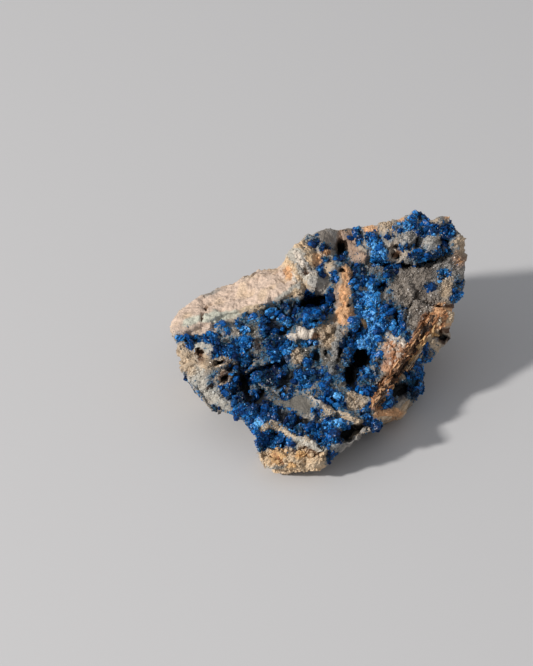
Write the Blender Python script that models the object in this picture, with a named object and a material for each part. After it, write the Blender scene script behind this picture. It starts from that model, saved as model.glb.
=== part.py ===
"""A hand specimen of veszelyite: blue crystal crusts on a chunk of vuggy, iron-stained quartz rock.

The rock lies on a flat foot at z = 0, with +X across it and +Z up. Its crystal-bearing display face
leans towards -Y. Places on that face are given as (across, up) in millimetres, as they show from the
viewpoint VIEW_DISTANCE away, DISPLAY_ELEVATION above the horizon.
"""

import math

import bmesh
import bpy
import numpy as np
from mathutils import Vector
from mathutils.bvhtree import BVHTree

MM = 0.001  # every size below is in millimetres, and the scene is in metres

# Driving dimensions
DISPLAY_ELEVATION = math.radians(36.0)
VIEW_DISTANCE = 560.0
VIEW_AXIS = (-10.3, 2.0)  # where the middle of the view meets the display face, (across, up)
DISPLAY_CENTRE = (0.0, 0.0, 14.4)
HEART = (3.0, 4.0, 8.5)
CORE_RADII = (30.0, 29.0, 12.0)  # across the display face, up it and through it
DISPLAY_LEAN = math.radians(20.0)  # of the display face, away from level
EDGE_SHARPNESS = 20.0
JOIN_SHARPNESS = 14.0
ROCK_TRIANGLES = 4700
SPHERE_STEPS = 7
OUTLINE_SECTORS = 150
STANDING_SHIFT = (-0.267, -1.637, 0.0)  # brings the middle of the bounding box over the origin
CRUST_RECESS = 1.1
CRUST_GAP = 0.45  # all three of these are measured towards the display viewpoint
CRUST_THICKNESS = 0.7
CRYSTAL_HEIGHT = 0.75  # of the pyramid on each crust face, as a share of the face's width

ACROSS = np.array((1.0, 0.0, 0.0))
UP = np.array((0.0, math.sin(DISPLAY_ELEVATION), math.cos(DISPLAY_ELEVATION)))
OUT = np.array((0.0, -math.cos(DISPLAY_ELEVATION), math.sin(DISPLAY_ELEVATION)))

# Broken faces of the two blocks that make the rock: a point on each face, then the way it looks,
# as degrees round from +X towards +Y and degrees above the horizon.
MAIN_BLOCK = {
    "display": ((0.0, 0.0, 14.4), -90, 70),
    "notch": ((-5.5, 19.0, 20.0), 152, 12),
    "top_left": ((-1.0, 26.0, 22.0), 118, 22),
    "top": ((10.0, 28.5, 23.0), 92, 4),
    "top_right": ((26.0, 28.0, 22.0), 62, -4),
    "right": ((29.6, 16.0, 18.0), -4, -6),
    "layered_side": ((10.4, -16.3, 8.4), -44, 30),
    "right_under": ((20.4, -7.3, 6.9), -38, -36),
    "far_right_under": ((28.0, 14.0, 9.0), 12, -44),
    "lower_front": ((-4.0, -25.2, 2.5), -93, 10),
    "left_under": ((-20.0, -10.0, 10.6), -159, -42),
    "back_under": ((6.0, 27.0, 9.0), 96, -34),
    "back_corner": ((24.0, 24.0, 12.0), 48, -24),
    "belly": ((3.0, 2.0, -0.9), -60, -87),
}
LEFT_BLOCK = {
    "display": ((0.0, 0.0, 14.4), -90, 70),
    "plateau": ((-3.6, 13.1, 19.2), 140, 73),
    "plateau_back": ((-15.6, 19.7, 12.0), 122, 6),
    "plateau_under": ((-15.6, 18.7, 7.0), 128, -40),
    "left_tip": ((-29.8, 3.0, 13.5), 172, -24),
    "left_under": ((-20.0, -10.0, 10.6), -159, -42),
    "lower_front": ((-4.0, -25.2, 2.5), -93, 10),
    "right": ((12.0, 10.0, 12.0), 0, 0),
    "back": ((0.0, 24.0, 12.0), 90, -20),
    "belly": ((3.0, 2.0, -0.9), -60, -87),
}

# The specimen's outline from the display viewpoint, clockwise from the left tip, (across, up).
OUTLINE = (
    (-29.8, 2.4), (-29.2, 4.4), (-27.8, 6.4), (-25.6, 8.0), (-23.4, 9.2), (-21.2, 10.2),
    (-19.2, 10.9), (-17.2, 11.7), (-15.4, 12.7), (-13.4, 13.4), (-11.6, 14.4), (-9.6, 14.7),
    (-8.0, 14.9), (-7.0, 16.1), (-5.8, 17.8), (-4.6, 19.4), (-3.0, 20.7), (-1.4, 21.8),
    (0.4, 22.5), (2.4, 22.8), (4.4, 22.5), (6.0, 23.0), (8.4, 23.0), (10.6, 23.1), (12.6, 23.5),
    (14.6, 24.2), (16.8, 25.0), (18.4, 25.7), (19.9, 26.1), (21.4, 25.5), (22.9, 24.8),
    (24.0, 25.1), (25.0, 25.5), (26.2, 25.8), (27.0, 23.8), (28.2, 22.7), (29.0, 21.4),
    (29.3, 17.6), (29.4, 15.4), (29.1, 12.6), (28.6, 11.0), (27.6, 9.0), (26.9, 7.4), (26.4, 5.4),
    (26.2, 3.2), (26.3, 1.4), (25.5, 0.1), (23.9, -1.2), (22.4, -2.5), (21.3, -3.8), (21.0, -5.4),
    (21.2, -6.6), (20.7, -8.6), (20.0, -10.4), (18.9, -11.9), (17.8, -13.0), (16.4, -14.6),
    (14.4, -15.4), (12.4, -16.1), (11.6, -17.1), (10.4, -17.7), (8.4, -18.6), (7.2, -19.8),
    (5.2, -21.3), (3.4, -22.5), (2.0, -24.4), (0.8, -25.3), (-1.4, -25.7), (-3.8, -25.9),
    (-6.6, -25.7), (-9.4, -25.4), (-10.8, -24.4), (-11.8, -23.4), (-12.1, -21.4), (-11.8, -19.0),
    (-12.6, -17.4), (-14.1, -16.1), (-15.6, -14.9), (-17.1, -13.9), (-19.2, -13.7), (-21.1, -13.4),
    (-22.3, -12.4), (-23.3, -11.0), (-24.2, -9.6), (-25.6, -8.2), (-26.7, -6.6), (-27.5, -4.4),
    (-28.0, -1.9), (-28.3, 0.1), (-29.0, 1.2),
)

# Hollows: across, up, half length, half width, turn in degrees, depth.
VUGS = {
    "bean_vug": (-0.8, 8.2, 3.4, 1.6, 12, 7.0),
    "deep_vug": (8.8, -3.0, 2.0, 2.3, 0, 8.0),
    "deep_vug_foot": (6.5, -6.5, 1.4, 2.4, -10, 7.0),
    "basin": (-8.0, -4.0, 11.0, 7.0, -25, 1.6),
    "basin_low": (-12.8, -9.4, 2.4, 2.8, 0, 2.8),
    "brown_hole_upper": (-23.7, -2.6, 1.2, 0.6, -70, 2.0),
    "brown_hole_middle": (-19.8, -4.0, 1.0, 0.6, 10, 2.2),
    "brown_hole_lower": (-18.9, -7.0, 1.2, 0.8, 30, 2.2),
    "brown_hole_rim": (-21.6, -8.8, 0.7, 0.6, 0, 1.4),
    "ledge_vug": (15.2, 17.8, 1.6, 1.5, 0, 1.8),
    "ledge_end_vug": (24.6, 20.2, 1.5, 1.1, 20, 3.0),
    "top_vug_left": (4.8, 19.4, 1.2, 1.5, 0, 3.0),
    "druse_corner": (12.6, 11.4, 1.6, 1.2, 40, 2.0),
    "lower_right_vug": (6.2, -18.2, 2.6, 1.2, 12, 3.0),
    "pocket": (-8.6, -19.2, 3.4, 2.6, 0, 1.2),
    "side_vug": (17.2, -8.0, 3.4, 2.4, 40, 2.2),
    "side_hole": (23.8, 1.6, 1.1, 0.7, 0, 1.6),
}

# Cracks and ribs along (across, up) points: the points, half width, and height above the face.
LINES = {
    "rind_edge": (((-29.0, 1.8), (-22.0, 5.6), (-13.0, 8.4), (-4.0, 11.6)), 1.3, 1.1),
    "basin_crack": (((-17.0, -10.8), (-14.6, -7.0), (-11.4, -5.2), (-6.4, -3.6)), 0.7, -3.0),
    "ledge_crevice": (((12.0, 16.2), (16.8, 15.6), (22.0, 15.8), (25.6, 17.2)), 0.8, -3.0),
    "side_crack": (((24.6, 7.0), (22.0, 5.4), (20.0, -0.6), (16.2, -6.2), (13.0, -8.2)), 0.5, -2.2),
    "limonite_rib": (((5.0, 15.2), (5.6, 11.4), (5.2, 9.0), (5.4, 5.6), (6.4, 3.8)), 1.5, 1.6),
    "grey_rib": (((4.2, 0.8), (2.8, -2.4), (2.2, -5.4)), 0.9, 1.7),
    "cream_tooth": (((-5.4, 1.8), (-1.6, 2.4), (1.0, 2.0)), 0.9, 1.2),
    "pale_rib": (((-1.4, -11.2), (1.6, -13.2), (5.0, -14.0), (9.0, -16.6)), 0.8, 1.5),
    "cream_ledge": (
        ((-10.6, -16.4), (-7.8, -17.2), (-5.4, -18.8), (-2.8, -19.4), (1.0, -21.4)), 0.9, 1.5
    ),
    "low_rim": (((2.4, -21.2), (6.2, -20.2), (9.0, -18.0)), 0.8, 1.0),
    "top_ledge": (((11.6, 20.6), (16.4, 20.0), (21.0, 20.4), (26.4, 21.4)), 4.2, 2.6),
    "layer_step": (((25.2, 3.4), (21.0, -2.2), (16.6, -8.6), (12.6, -11.6)), 0.8, 0.9),
}

# Round swellings: across, up, radius, height.
LUMPS = {
    "grey_brow": (1.4, 21.0, 3.0, 1.6),
    "tan_brow": (-3.6, 16.8, 3.2, 1.2),
    "cream_lobe": (-0.4, 12.4, 2.3, 1.6),
    "rosy_lobe": (8.0, 17.8, 2.0, 1.0),
    "ledge_lobe_left": (18.0, 20.4, 1.7, 0.9),
    "ledge_lobe_right": (22.8, 19.8, 1.9, 1.0),
    "blue_crown": (20.4, 23.8, 2.6, 1.6),
    "salmon_lobe": (15.6, -1.8, 2.8, 1.3),
    "grey_shelf": (11.0, -4.2, 1.8, 1.2),
    "side_lobe": (24.6, 4.0, 2.0, 1.2),
    "blue_lobe": (-0.2, 5.0, 2.2, 1.4),
    "foot_lobe_left": (-8.6, -23.2, 2.4, 1.2),
    "foot_lobe_middle": (-4.6, -23.4, 2.0, 1.1),
    "foot_lobe_right": (-0.6, -23.8, 2.0, 1.2),
    "low_side_lobe": (13.0, -15.6, 2.2, 1.4),
}

# Where veszelyite covers the rock: across, up, half length, half width, turn in degrees.
CRUSTS = {
    "pocket_crystals": ((-8.6, -19.4, 4.4, 3.2, 0),),
    "left_tip_crystals": ((-24.4, 0.7, 4.2, 2.1, 0),),
    "basin_crystals": (
        (-15.0, -1.8, 6.0, 3.4, -10), (-13.6, -8.4, 5.2, 5.4, 0), (-6.6, -3.4, 4.4, 3.4, 0),
        (-1.6, -7.0, 5.6, 2.4, 0), (-12.8, -14.0, 4.4, 2.2, -25),
    ),
    "upper_basin_crystals": ((-8.4, 6.0, 4.6, 2.8, 15), (-1.6, 5.2, 3.6, 1.9, 0)),
    "lower_band_crystals": ((-4.4, -15.8, 7.0, 2.0, -10), (4.4, -15.6, 3.4, 1.5, 0)),
    "pale_rib_crystals": ((4.4, -11.2, 5.2, 2.1, -25),),
    "vein_crystals": ((10.8, 5.6, 2.8, 7.6, 8), (10.4, 13.0, 2.0, 3.0, 0)),
    "upper_vein_crystals": ((11.8, 18.6, 2.6, 3.4, 0),),
    "top_left_crystals": ((7.6, 20.8, 3.2, 2.8, 0),),
    "crown_crystals": (
        (20.0, 23.4, 3.2, 2.6, 0), (25.4, 21.4, 3.2, 2.2, -15), (22.0, 17.8, 4.8, 1.9, 12),
        (15.4, 21.4, 2.6, 1.8, 20),
    ),
    "slope_crystals": ((15.4, 4.2, 3.0, 3.6, 30),),
    "deep_vug_crystals": ((10.4, -7.4, 2.4, 2.4, 0), (12.4, -3.0, 2.2, 2.4, 0)),
    "side_crystals": ((18.6, -6.4, 2.8, 3.4, -30), (15.4, -9.8, 3.4, 2.0, 20)),
    "right_edge_crystals": ((27.4, 10.4, 1.7, 2.8, 0),),
}


def smooth_step(low, high, value):
    """0 below low, 1 above high, and a cubic ease between."""
    t = np.clip((value - low) / (high - low), 0.0, 1.0)
    return t * t * (3.0 - 2.0 * t)


def lattice_noise(points, wavelength, seed):
    """Smooth noise from -1 to 1: random numbers at the corners of a cubic lattice, eased between."""
    cells = 32
    corner_values = np.random.default_rng(seed).uniform(-1.0, 1.0, (cells, cells, cells))
    scaled = points / wavelength
    base = np.floor(scaled).astype(int)
    t = scaled - base
    t = t * t * (3.0 - 2.0 * t)
    total = np.zeros(len(points))
    for corner in np.ndindex(2, 2, 2):
        weight = np.prod(np.where(np.array(corner) == 1, t, 1.0 - t), axis=1)
        i, j, k = ((base + corner) % cells).T
        total += weight * corner_values[i, j, k]
    return total


def rough_noise(points, wavelength, octaves, seed):
    """Lattice noise summed over octaves, each half the wavelength and half the height of the last."""
    return sum(
        lattice_noise(points, wavelength / 2**n, seed + n) / 2**n for n in range(octaves)
    )


def look(azimuth, elevation):
    """The unit vector that looks that many degrees round from +X and above the horizon."""
    a, e = math.radians(azimuth), math.radians(elevation)
    return np.array((math.cos(e) * math.cos(a), math.cos(e) * math.sin(a), math.sin(e)))


def stretched(directions):
    """Unit directions from the heart, drawn out along the display face as CORE_RADII are."""
    up_face = np.array((0.0, math.cos(DISPLAY_LEAN), math.sin(DISPLAY_LEAN)))
    off_face = np.array((0.0, -math.sin(DISPLAY_LEAN), math.cos(DISPLAY_LEAN)))
    frame = np.array((ACROSS, up_face, off_face))
    drawn = (directions @ frame.T * np.array(CORE_RADII)) @ frame
    return drawn / np.linalg.norm(drawn, axis=1, keepdims=True)


def block_surface(directions, faces):
    """Distance from the heart to a block with rounded edges, and the surface's normal there.

    One over the distance is the p-norm, over the faces, of (normal . direction) / (depth of the face).
    """
    heart = np.array(HEART)
    normals = np.array([look(a, e) for _, a, e in faces.values()])
    depths = np.array([n @ (np.array(p) - heart) for n, (p, _, _) in zip(normals, faces.values())])
    shares = np.maximum(directions @ normals.T, 0.0) / depths
    total = (shares**EDGE_SHARPNESS).sum(axis=1)
    gradient = (shares ** (EDGE_SHARPNESS - 1.0) / depths) @ normals
    gradient /= np.linalg.norm(gradient, axis=1, keepdims=True)
    return total ** (-1.0 / EDGE_SHARPNESS), gradient


def seen_from_display(points):
    """(across, up, out) of each point, in perspective from the display viewpoint."""
    offset = points - np.array(DISPLAY_CENTRE)
    out = offset @ OUT
    scale = VIEW_DISTANCE / (VIEW_DISTANCE - out)
    across = VIEW_AXIS[0] + (offset @ ACROSS - VIEW_AXIS[0]) * scale
    up = VIEW_AXIS[1] + (offset @ UP - VIEW_AXIS[1]) * scale
    return across, up, out


def placed_from_display(across, up, out):
    """The points that show at (across, up) from the display viewpoint, at that distance out."""
    scale = (VIEW_DISTANCE - out) / VIEW_DISTANCE
    sideways = VIEW_AXIS[0] + (across - VIEW_AXIS[0]) * scale
    upwards = VIEW_AXIS[1] + (up - VIEW_AXIS[1]) * scale
    shift = sideways[:, None] * ACROSS + upwards[:, None] * UP + out[:, None] * OUT
    return np.array(DISPLAY_CENTRE) + shift


def fit_outline(points):
    """Stretches the rock sideways, as seen from the display viewpoint, until its rim meets OUTLINE."""
    across, up, out = seen_from_display(points)
    angle, reach = np.arctan2(up, across), np.hypot(across, up)
    corners = np.array(OUTLINE)
    corner_angle = np.arctan2(corners[:, 1], corners[:, 0])
    order = np.argsort(corner_angle)
    wanted = np.interp(
        angle, corner_angle[order], np.hypot(*corners.T)[order], period=2.0 * math.pi
    )
    turn = (angle + math.pi) / (2.0 * math.pi)
    rim = np.zeros(OUTLINE_SECTORS)
    np.maximum.at(rim, (turn * OUTLINE_SECTORS).astype(int) % OUTLINE_SECTORS, reach / wanted)
    middle = (np.arange(OUTLINE_SECTORS) + 0.5) / OUTLINE_SECTORS * 2.0 * math.pi - math.pi
    share = np.interp(angle, middle, rim, period=2.0 * math.pi)
    near_rim = smooth_step(0.35, 0.95, reach / wanted / share)
    scale = 1.0 + (1.0 / share - 1.0) * near_rim
    return placed_from_display(across * scale, up * scale, out)


def oval_share(across, up, oval):
    """0 at the middle of a turned oval, 1 on its edge and more outside."""
    centre_across, centre_up, half_length, half_width, turn = oval
    a, u = across - centre_across, up - centre_up
    cosine, sine = math.cos(math.radians(turn)), math.sin(math.radians(turn))
    return np.hypot((a * cosine + u * sine) / half_length, (u * cosine - a * sine) / half_width)


def line_distance(across, up, points):
    """Distance, as seen from the display viewpoint, to the nearest point of a line of points."""
    nearest = np.full(len(across), np.inf)
    for (a0, u0), (a1, u1) in zip(points, points[1:]):
        da, du = a1 - a0, u1 - u0
        along = ((across - a0) * da + (up - u0) * du) / (da * da + du * du)
        along = np.clip(along, 0.0, 1.0)
        nearest = np.minimum(nearest, np.hypot(across - a0 - along * da, up - u0 - along * du))
    return nearest


def relief(across, up, points):
    """Height of the display face's features above its broken plane, towards the viewpoint."""
    wobble_across = across + 0.5 * lattice_noise(points, 1.9, 31)
    wobble_up = up + 0.5 * lattice_noise(points, 1.9, 32)
    height = np.zeros(len(points))
    for centre_across, centre_up, radius, rise in LUMPS.values():
        share = np.hypot(wobble_across - centre_across, wobble_up - centre_up) / radius
        height += rise * np.sqrt(np.clip(1.0 - share * share, 0.0, 1.0))
    for line, half_width, rise in LINES.values():
        share = line_distance(wobble_across, wobble_up, line) / half_width
        height += rise * (1.0 - smooth_step(0.5, 1.3, share))
    for *oval, depth in VUGS.values():
        share = oval_share(wobble_across, wobble_up, oval)
        height -= depth * (1.0 - smooth_step(0.65, 1.2, share))
    return height


def crystal_cover(across, up, ovals):
    """1 where a crust's ovals cover the face, easing to 0 just outside them."""
    return 1.0 - smooth_step(
        0.85, 1.15, np.min([oval_share(across, up, oval) for oval in ovals], axis=0)
    )


def rest_on_floor(points):
    """Draws what is below z = 0 back towards the heart until it lies on the floor."""
    heart = np.array(HEART)
    fall = np.maximum(heart[2] - points[:, 2], 1e-6)
    share = np.where(points[:, 2] < 0.0, heart[2] / fall, 1.0)
    rested = heart + (points - heart) * share[:, None]
    rested[:, 2] = np.maximum(rested[:, 2], 0.0)
    return rested


def rock_surface(sphere):
    """The rock's surface for points of a unit sphere: two joined blocks, swollen and broken unevenly,
    fitted to the outline, with the display face's features and a recess under each crust."""
    directions = stretched(sphere)
    main, main_normal = block_surface(directions, MAIN_BLOCK)
    left, left_normal = block_surface(directions, LEFT_BLOCK)
    main_share, left_share = main**JOIN_SHARPNESS, left**JOIN_SHARPNESS
    reach = (main_share + left_share) ** (1.0 / JOIN_SHARPNESS)
    normal = main_share[:, None] * main_normal + left_share[:, None] * left_normal
    normal /= np.linalg.norm(normal, axis=1, keepdims=True)
    points = np.array(HEART) + directions * reach[:, None]
    shown = smooth_step(-0.2, 0.5, normal @ OUT)
    swell = 1.5 * lattice_noise(points, 13.0, 11)
    swell += (0.25 + 0.55 * shown) * rough_noise(points, 5.5, 2, 21)
    points = fit_outline(fit_outline(points + normal * swell[:, None]))
    across, up, _ = seen_from_display(points)
    facing = smooth_step(0.1, 0.5, normal @ OUT)
    every_oval = [oval for ovals in CRUSTS.values() for oval in ovals]
    height = relief(across, up, points) - CRUST_RECESS * crystal_cover(across, up, every_oval)
    return rest_on_floor(points + OUT * (facing * height)[:, None])


def new_object(name, mesh, collection):
    obj = bpy.data.objects.new(name, mesh)
    collection.objects.link(obj)
    return obj


def material(name, colour, roughness):
    """A plain stone or crystal finish."""
    made = bpy.data.materials.new(name)
    made.use_nodes = True
    shader = made.node_tree.nodes["Principled BSDF"]
    shader.inputs["Base Color"].default_value = (*colour, 1.0)
    shader.inputs["Roughness"].default_value = roughness
    shader.inputs["Metallic"].default_value = 0.0
    return made


def make_rock(collection):
    """A sphere primitive carried out to the rock's surface, then thinned."""
    shape = bmesh.new()
    bmesh.ops.create_icosphere(shape, subdivisions=SPHERE_STEPS, radius=1.0)
    sphere = np.array([v.co for v in shape.verts])
    sphere /= np.linalg.norm(sphere, axis=1, keepdims=True)
    for vertex, place in zip(shape.verts, rock_surface(sphere)):
        vertex.co = place * MM
    fine = bpy.data.meshes.new("rock_surface")
    shape.to_mesh(fine)
    shape.free()
    rock = new_object("matrix_rock", fine, collection)
    thin = rock.modifiers.new("thin", "DECIMATE")
    thin.ratio = ROCK_TRIANGLES / len(fine.polygons)
    graph = bpy.context.evaluated_depsgraph_get()
    rock.data = bpy.data.meshes.new_from_object(rock.evaluated_get(graph))
    rock.modifiers.clear()
    bpy.data.meshes.remove(fine)
    return rock


def largest_island(faces):
    """The largest group of faces joined by their edges."""
    left, largest = set(faces), set()
    while left:
        group, front = set(), [min(left, key=lambda f: f.index)]
        while front:
            face = front.pop()
            if face in left:
                left.remove(face)
                group.add(face)
                front += [f for e in face.edges for f in e.link_faces if f in left]
        largest = max(largest, group, key=len)
    return largest


def rim_edges(vertex, faces):
    """The edges at a vertex that lie on the rim of a patch of faces."""
    return [e for e in vertex.link_edges if sum(f in faces for f in e.link_faces) == 1]


def patch_round(chosen, allowed):
    """The largest patch made of whole rings of faces round the chosen vertices.

    Where two rings meet only at a point, that point's own ring is filled in or both are left out.
    """
    chosen, allowed = chosen & allowed, set(allowed)
    while True:
        faces = largest_island({f for v in chosen for f in v.link_faces})
        corners = {v for f in faces for v in f.verts}
        pinched = {v for v in corners if len(rim_edges(v, faces)) > 2}
        if not pinched:
            return faces
        for vertex in pinched - allowed:
            allowed -= {e.other_vert(vertex) for e in vertex.link_edges}
        chosen = (chosen | pinched) & allowed


def is_open(vertex, tree):
    """Whether the faces round a vertex all look towards the display viewpoint, with no rock over them."""
    if any(np.dot(f.normal, OUT) < 0.2 for f in vertex.link_faces):
        return False
    spots = [f.calc_center_median() for f in vertex.link_faces]
    spots += [c.co for f in vertex.link_faces for c in f.verts]
    spots += [vertex.co.lerp(spot, 1.05) for spot in spots]
    step = Vector(OUT) * CRUST_GAP * MM / 2.0
    return all(tree.ray_cast(spot + step, step)[0] is None for spot in spots)


def make_crust(name, ovals, rock, taken, collection):
    """A shell that follows the rock's own faces inside the ovals, with a pyramid on each face.

    Every part of it is shifted straight towards the display viewpoint, so that it can't cross itself.
    """
    shape = bmesh.new()
    shape.from_mesh(rock.data)
    shape.normal_update()
    across, up, _ = seen_from_display(np.array([v.co for v in shape.verts]) / MM)
    share = np.min([oval_share(across, up, oval) for oval in ovals], axis=0)
    tree = BVHTree.FromBMesh(shape)
    allowed = {
        v for v in shape.verts
        if is_open(v, tree) and taken.isdisjoint(c.index for f in v.link_faces for c in f.verts)
    }
    faces = patch_round({v for v, s in zip(shape.verts, share) if s < 1.0}, allowed)
    taken |= {v.index for f in faces for v in f.verts}
    bmesh.ops.delete(shape, geom=[f for f in shape.faces if f not in faces], context="FACES")
    bmesh.ops.translate(shape, verts=shape.verts, vec=OUT * CRUST_GAP * MM)
    raised = bmesh.ops.extrude_face_region(shape, geom=list(shape.faces))["geom"]
    top = [g for g in raised if isinstance(g, bmesh.types.BMFace)]
    top_corners = {v for f in top for v in f.verts}
    bmesh.ops.translate(shape, verts=list(top_corners), vec=OUT * CRUST_THICKNESS * MM)
    widths = [math.sqrt(f.calc_area()) for f in top]
    tips = bmesh.ops.poke(shape, faces=top, center_mode="MEAN")["verts"]
    chance = np.random.default_rng(len(name))
    for tip, width in zip(tips, widths):
        tip.co += Vector(OUT * CRYSTAL_HEIGHT * width * chance.uniform(0.6, 1.4))
    bmesh.ops.triangulate(shape, faces=[f for f in shape.faces if len(f.verts) > 3])
    bmesh.ops.recalc_face_normals(shape, faces=list(shape.faces))
    mesh = bpy.data.meshes.new(name)
    shape.to_mesh(mesh)
    shape.free()
    return new_object(name, mesh, collection)


def main():
    for obj in list(bpy.data.objects):
        bpy.data.objects.remove(obj, do_unlink=True)
    specimen = bpy.data.collections.new("veszelyite_specimen")
    bpy.context.scene.collection.children.link(specimen)
    rock = make_rock(specimen)
    rock.data.materials.append(material("quartz_rock", (0.42, 0.34, 0.25), 0.8))
    blue = material("veszelyite", (0.01, 0.09, 0.34), 0.3)
    taken = set()
    for name, ovals in CRUSTS.items():
        make_crust(name, ovals, rock, taken, specimen).data.materials.append(blue)
    for obj in specimen.objects:
        for vertex in obj.data.vertices:
            vertex.co += Vector(STANDING_SHIFT) * MM


main()
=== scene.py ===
"""The look of the veszelyite specimen: vuggy quartz rock crusted with thousands of small blue crystals.

The rock is one closed surface, a function of a direction from its heart, and every crystal is one cut
form set into that surface. Lengths are in millimetres until a mesh is made. Places on the display face
are (across, up), as they show from the display viewpoint.
"""

import math
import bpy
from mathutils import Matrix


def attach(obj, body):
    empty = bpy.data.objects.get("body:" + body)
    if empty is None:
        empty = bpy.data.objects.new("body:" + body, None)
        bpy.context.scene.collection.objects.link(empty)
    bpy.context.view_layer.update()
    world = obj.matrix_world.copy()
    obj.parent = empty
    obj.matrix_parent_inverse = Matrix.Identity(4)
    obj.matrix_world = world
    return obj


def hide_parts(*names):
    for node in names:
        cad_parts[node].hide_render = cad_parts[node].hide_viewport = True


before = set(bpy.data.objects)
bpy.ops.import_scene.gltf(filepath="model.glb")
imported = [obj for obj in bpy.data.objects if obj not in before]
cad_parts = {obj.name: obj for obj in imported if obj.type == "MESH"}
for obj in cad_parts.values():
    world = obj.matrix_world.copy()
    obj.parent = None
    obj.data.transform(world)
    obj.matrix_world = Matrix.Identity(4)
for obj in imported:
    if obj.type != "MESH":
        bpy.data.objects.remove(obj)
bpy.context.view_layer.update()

from types import SimpleNamespace

import bpy
import numpy as np
from mathutils import Matrix, Vector

MM = 0.001

# Driving dimensions, as in the part's source
DISPLAY_ELEVATION = math.radians(36.0)
VIEW_DISTANCE = 560.0
VIEW_AXIS = (-10.3, 2.0)  # where the middle of the view meets the display face, (across, up)
DISPLAY_CENTRE = (0.0, 0.0, 14.4)
HEART = (3.0, 4.0, 8.5)
CORE_RADII = (30.0, 29.0, 12.0)
DISPLAY_LEAN = math.radians(20.0)
EDGE_SHARPNESS = 20.0
JOIN_SHARPNESS = 14.0
OUTLINE_SECTORS = 150
STANDING_SHIFT = (-0.267, -1.637, 0.0)

# The rock's mesh
ROCK_STEPS = 310  # along each side of the rock's grid
CROWDING = 0.42  # how strongly the grid's points crowd towards the display viewpoint
LAYER_WAY = (11.0, 16.5)  # which way the side's layers run, (across, up)
LAYER_THICKNESS = 0.95

# The camera, the light and the floor
PICTURE_LONG_SIDE = 666 * 0.2  # 666 pixels of 0.2 mm
SENSOR = 36.0
LIGHT_DISTANCE = 1.5
LIGHT_SIDE = 0.13
LIGHT_POWER = 25.5
LIGHT_COLOUR = (1.0, 0.975, 0.94)
TOWARDS_LIGHT = (-0.78, -0.38, 0.52)
SKY_COLOUR = (0.94, 0.96, 1.0, 1.0)
SKY_STRENGTH = 0.42
FLOOR_SIDE = 8.0
FLOOR_COLOUR = (0.55, 0.545, 0.55, 1.0)

NOISE_CELLS = 32  # along each side of the cube of random numbers that noise repeats

# The ways across, up and out of the picture, from the display viewpoint
ACROSS = np.array((1.0, 0.0, 0.0))
UP = np.array((0.0, math.sin(DISPLAY_ELEVATION), math.cos(DISPLAY_ELEVATION)))
OUT = np.array((0.0, -math.cos(DISPLAY_ELEVATION), math.sin(DISPLAY_ELEVATION)))

# Broken faces of the two blocks that make the rock: a point on each face, then the way it looks,
# as degrees round from +X towards +Y and degrees above the horizon.
MAIN_BLOCK = {
    "display": ((0.0, 0.0, 14.4), -90, 70),
    "notch": ((-5.5, 19.0, 20.0), 152, 12),
    "top_left": ((-1.0, 26.0, 22.0), 118, 22),
    "top": ((10.0, 28.5, 23.0), 92, 4),
    "top_right": ((26.0, 28.0, 22.0), 62, -4),
    "right": ((29.6, 16.0, 18.0), -4, -6),
    "layered_side": ((10.4, -16.3, 8.4), -44, 30),
    "right_under": ((20.4, -7.3, 6.9), -38, -36),
    "far_right_under": ((28.0, 14.0, 9.0), 12, -44),
    "lower_front": ((-4.0, -25.2, 2.5), -93, 10),
    "left_under": ((-20.0, -10.0, 10.6), -159, -42),
    "back_under": ((6.0, 27.0, 9.0), 96, -34),
    "back_corner": ((24.0, 24.0, 12.0), 48, -24),
    "belly": ((3.0, 2.0, -0.9), -60, -87),
}
LEFT_BLOCK = {
    "display": ((0.0, 0.0, 14.4), -90, 70),
    "plateau": ((-3.6, 13.1, 19.2), 140, 73),
    "plateau_back": ((-15.6, 19.7, 12.0), 122, 6),
    "plateau_under": ((-15.6, 18.7, 7.0), 128, -40),
    "left_tip": ((-29.8, 3.0, 13.5), 172, -24),
    "left_under": ((-20.0, -10.0, 10.6), -159, -42),
    "lower_front": ((-4.0, -25.2, 2.5), -93, 10),
    "right": ((12.0, 10.0, 12.0), 0, 0),
    "back": ((0.0, 24.0, 12.0), 90, -20),
    "belly": ((3.0, 2.0, -0.9), -60, -87),
}

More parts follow.
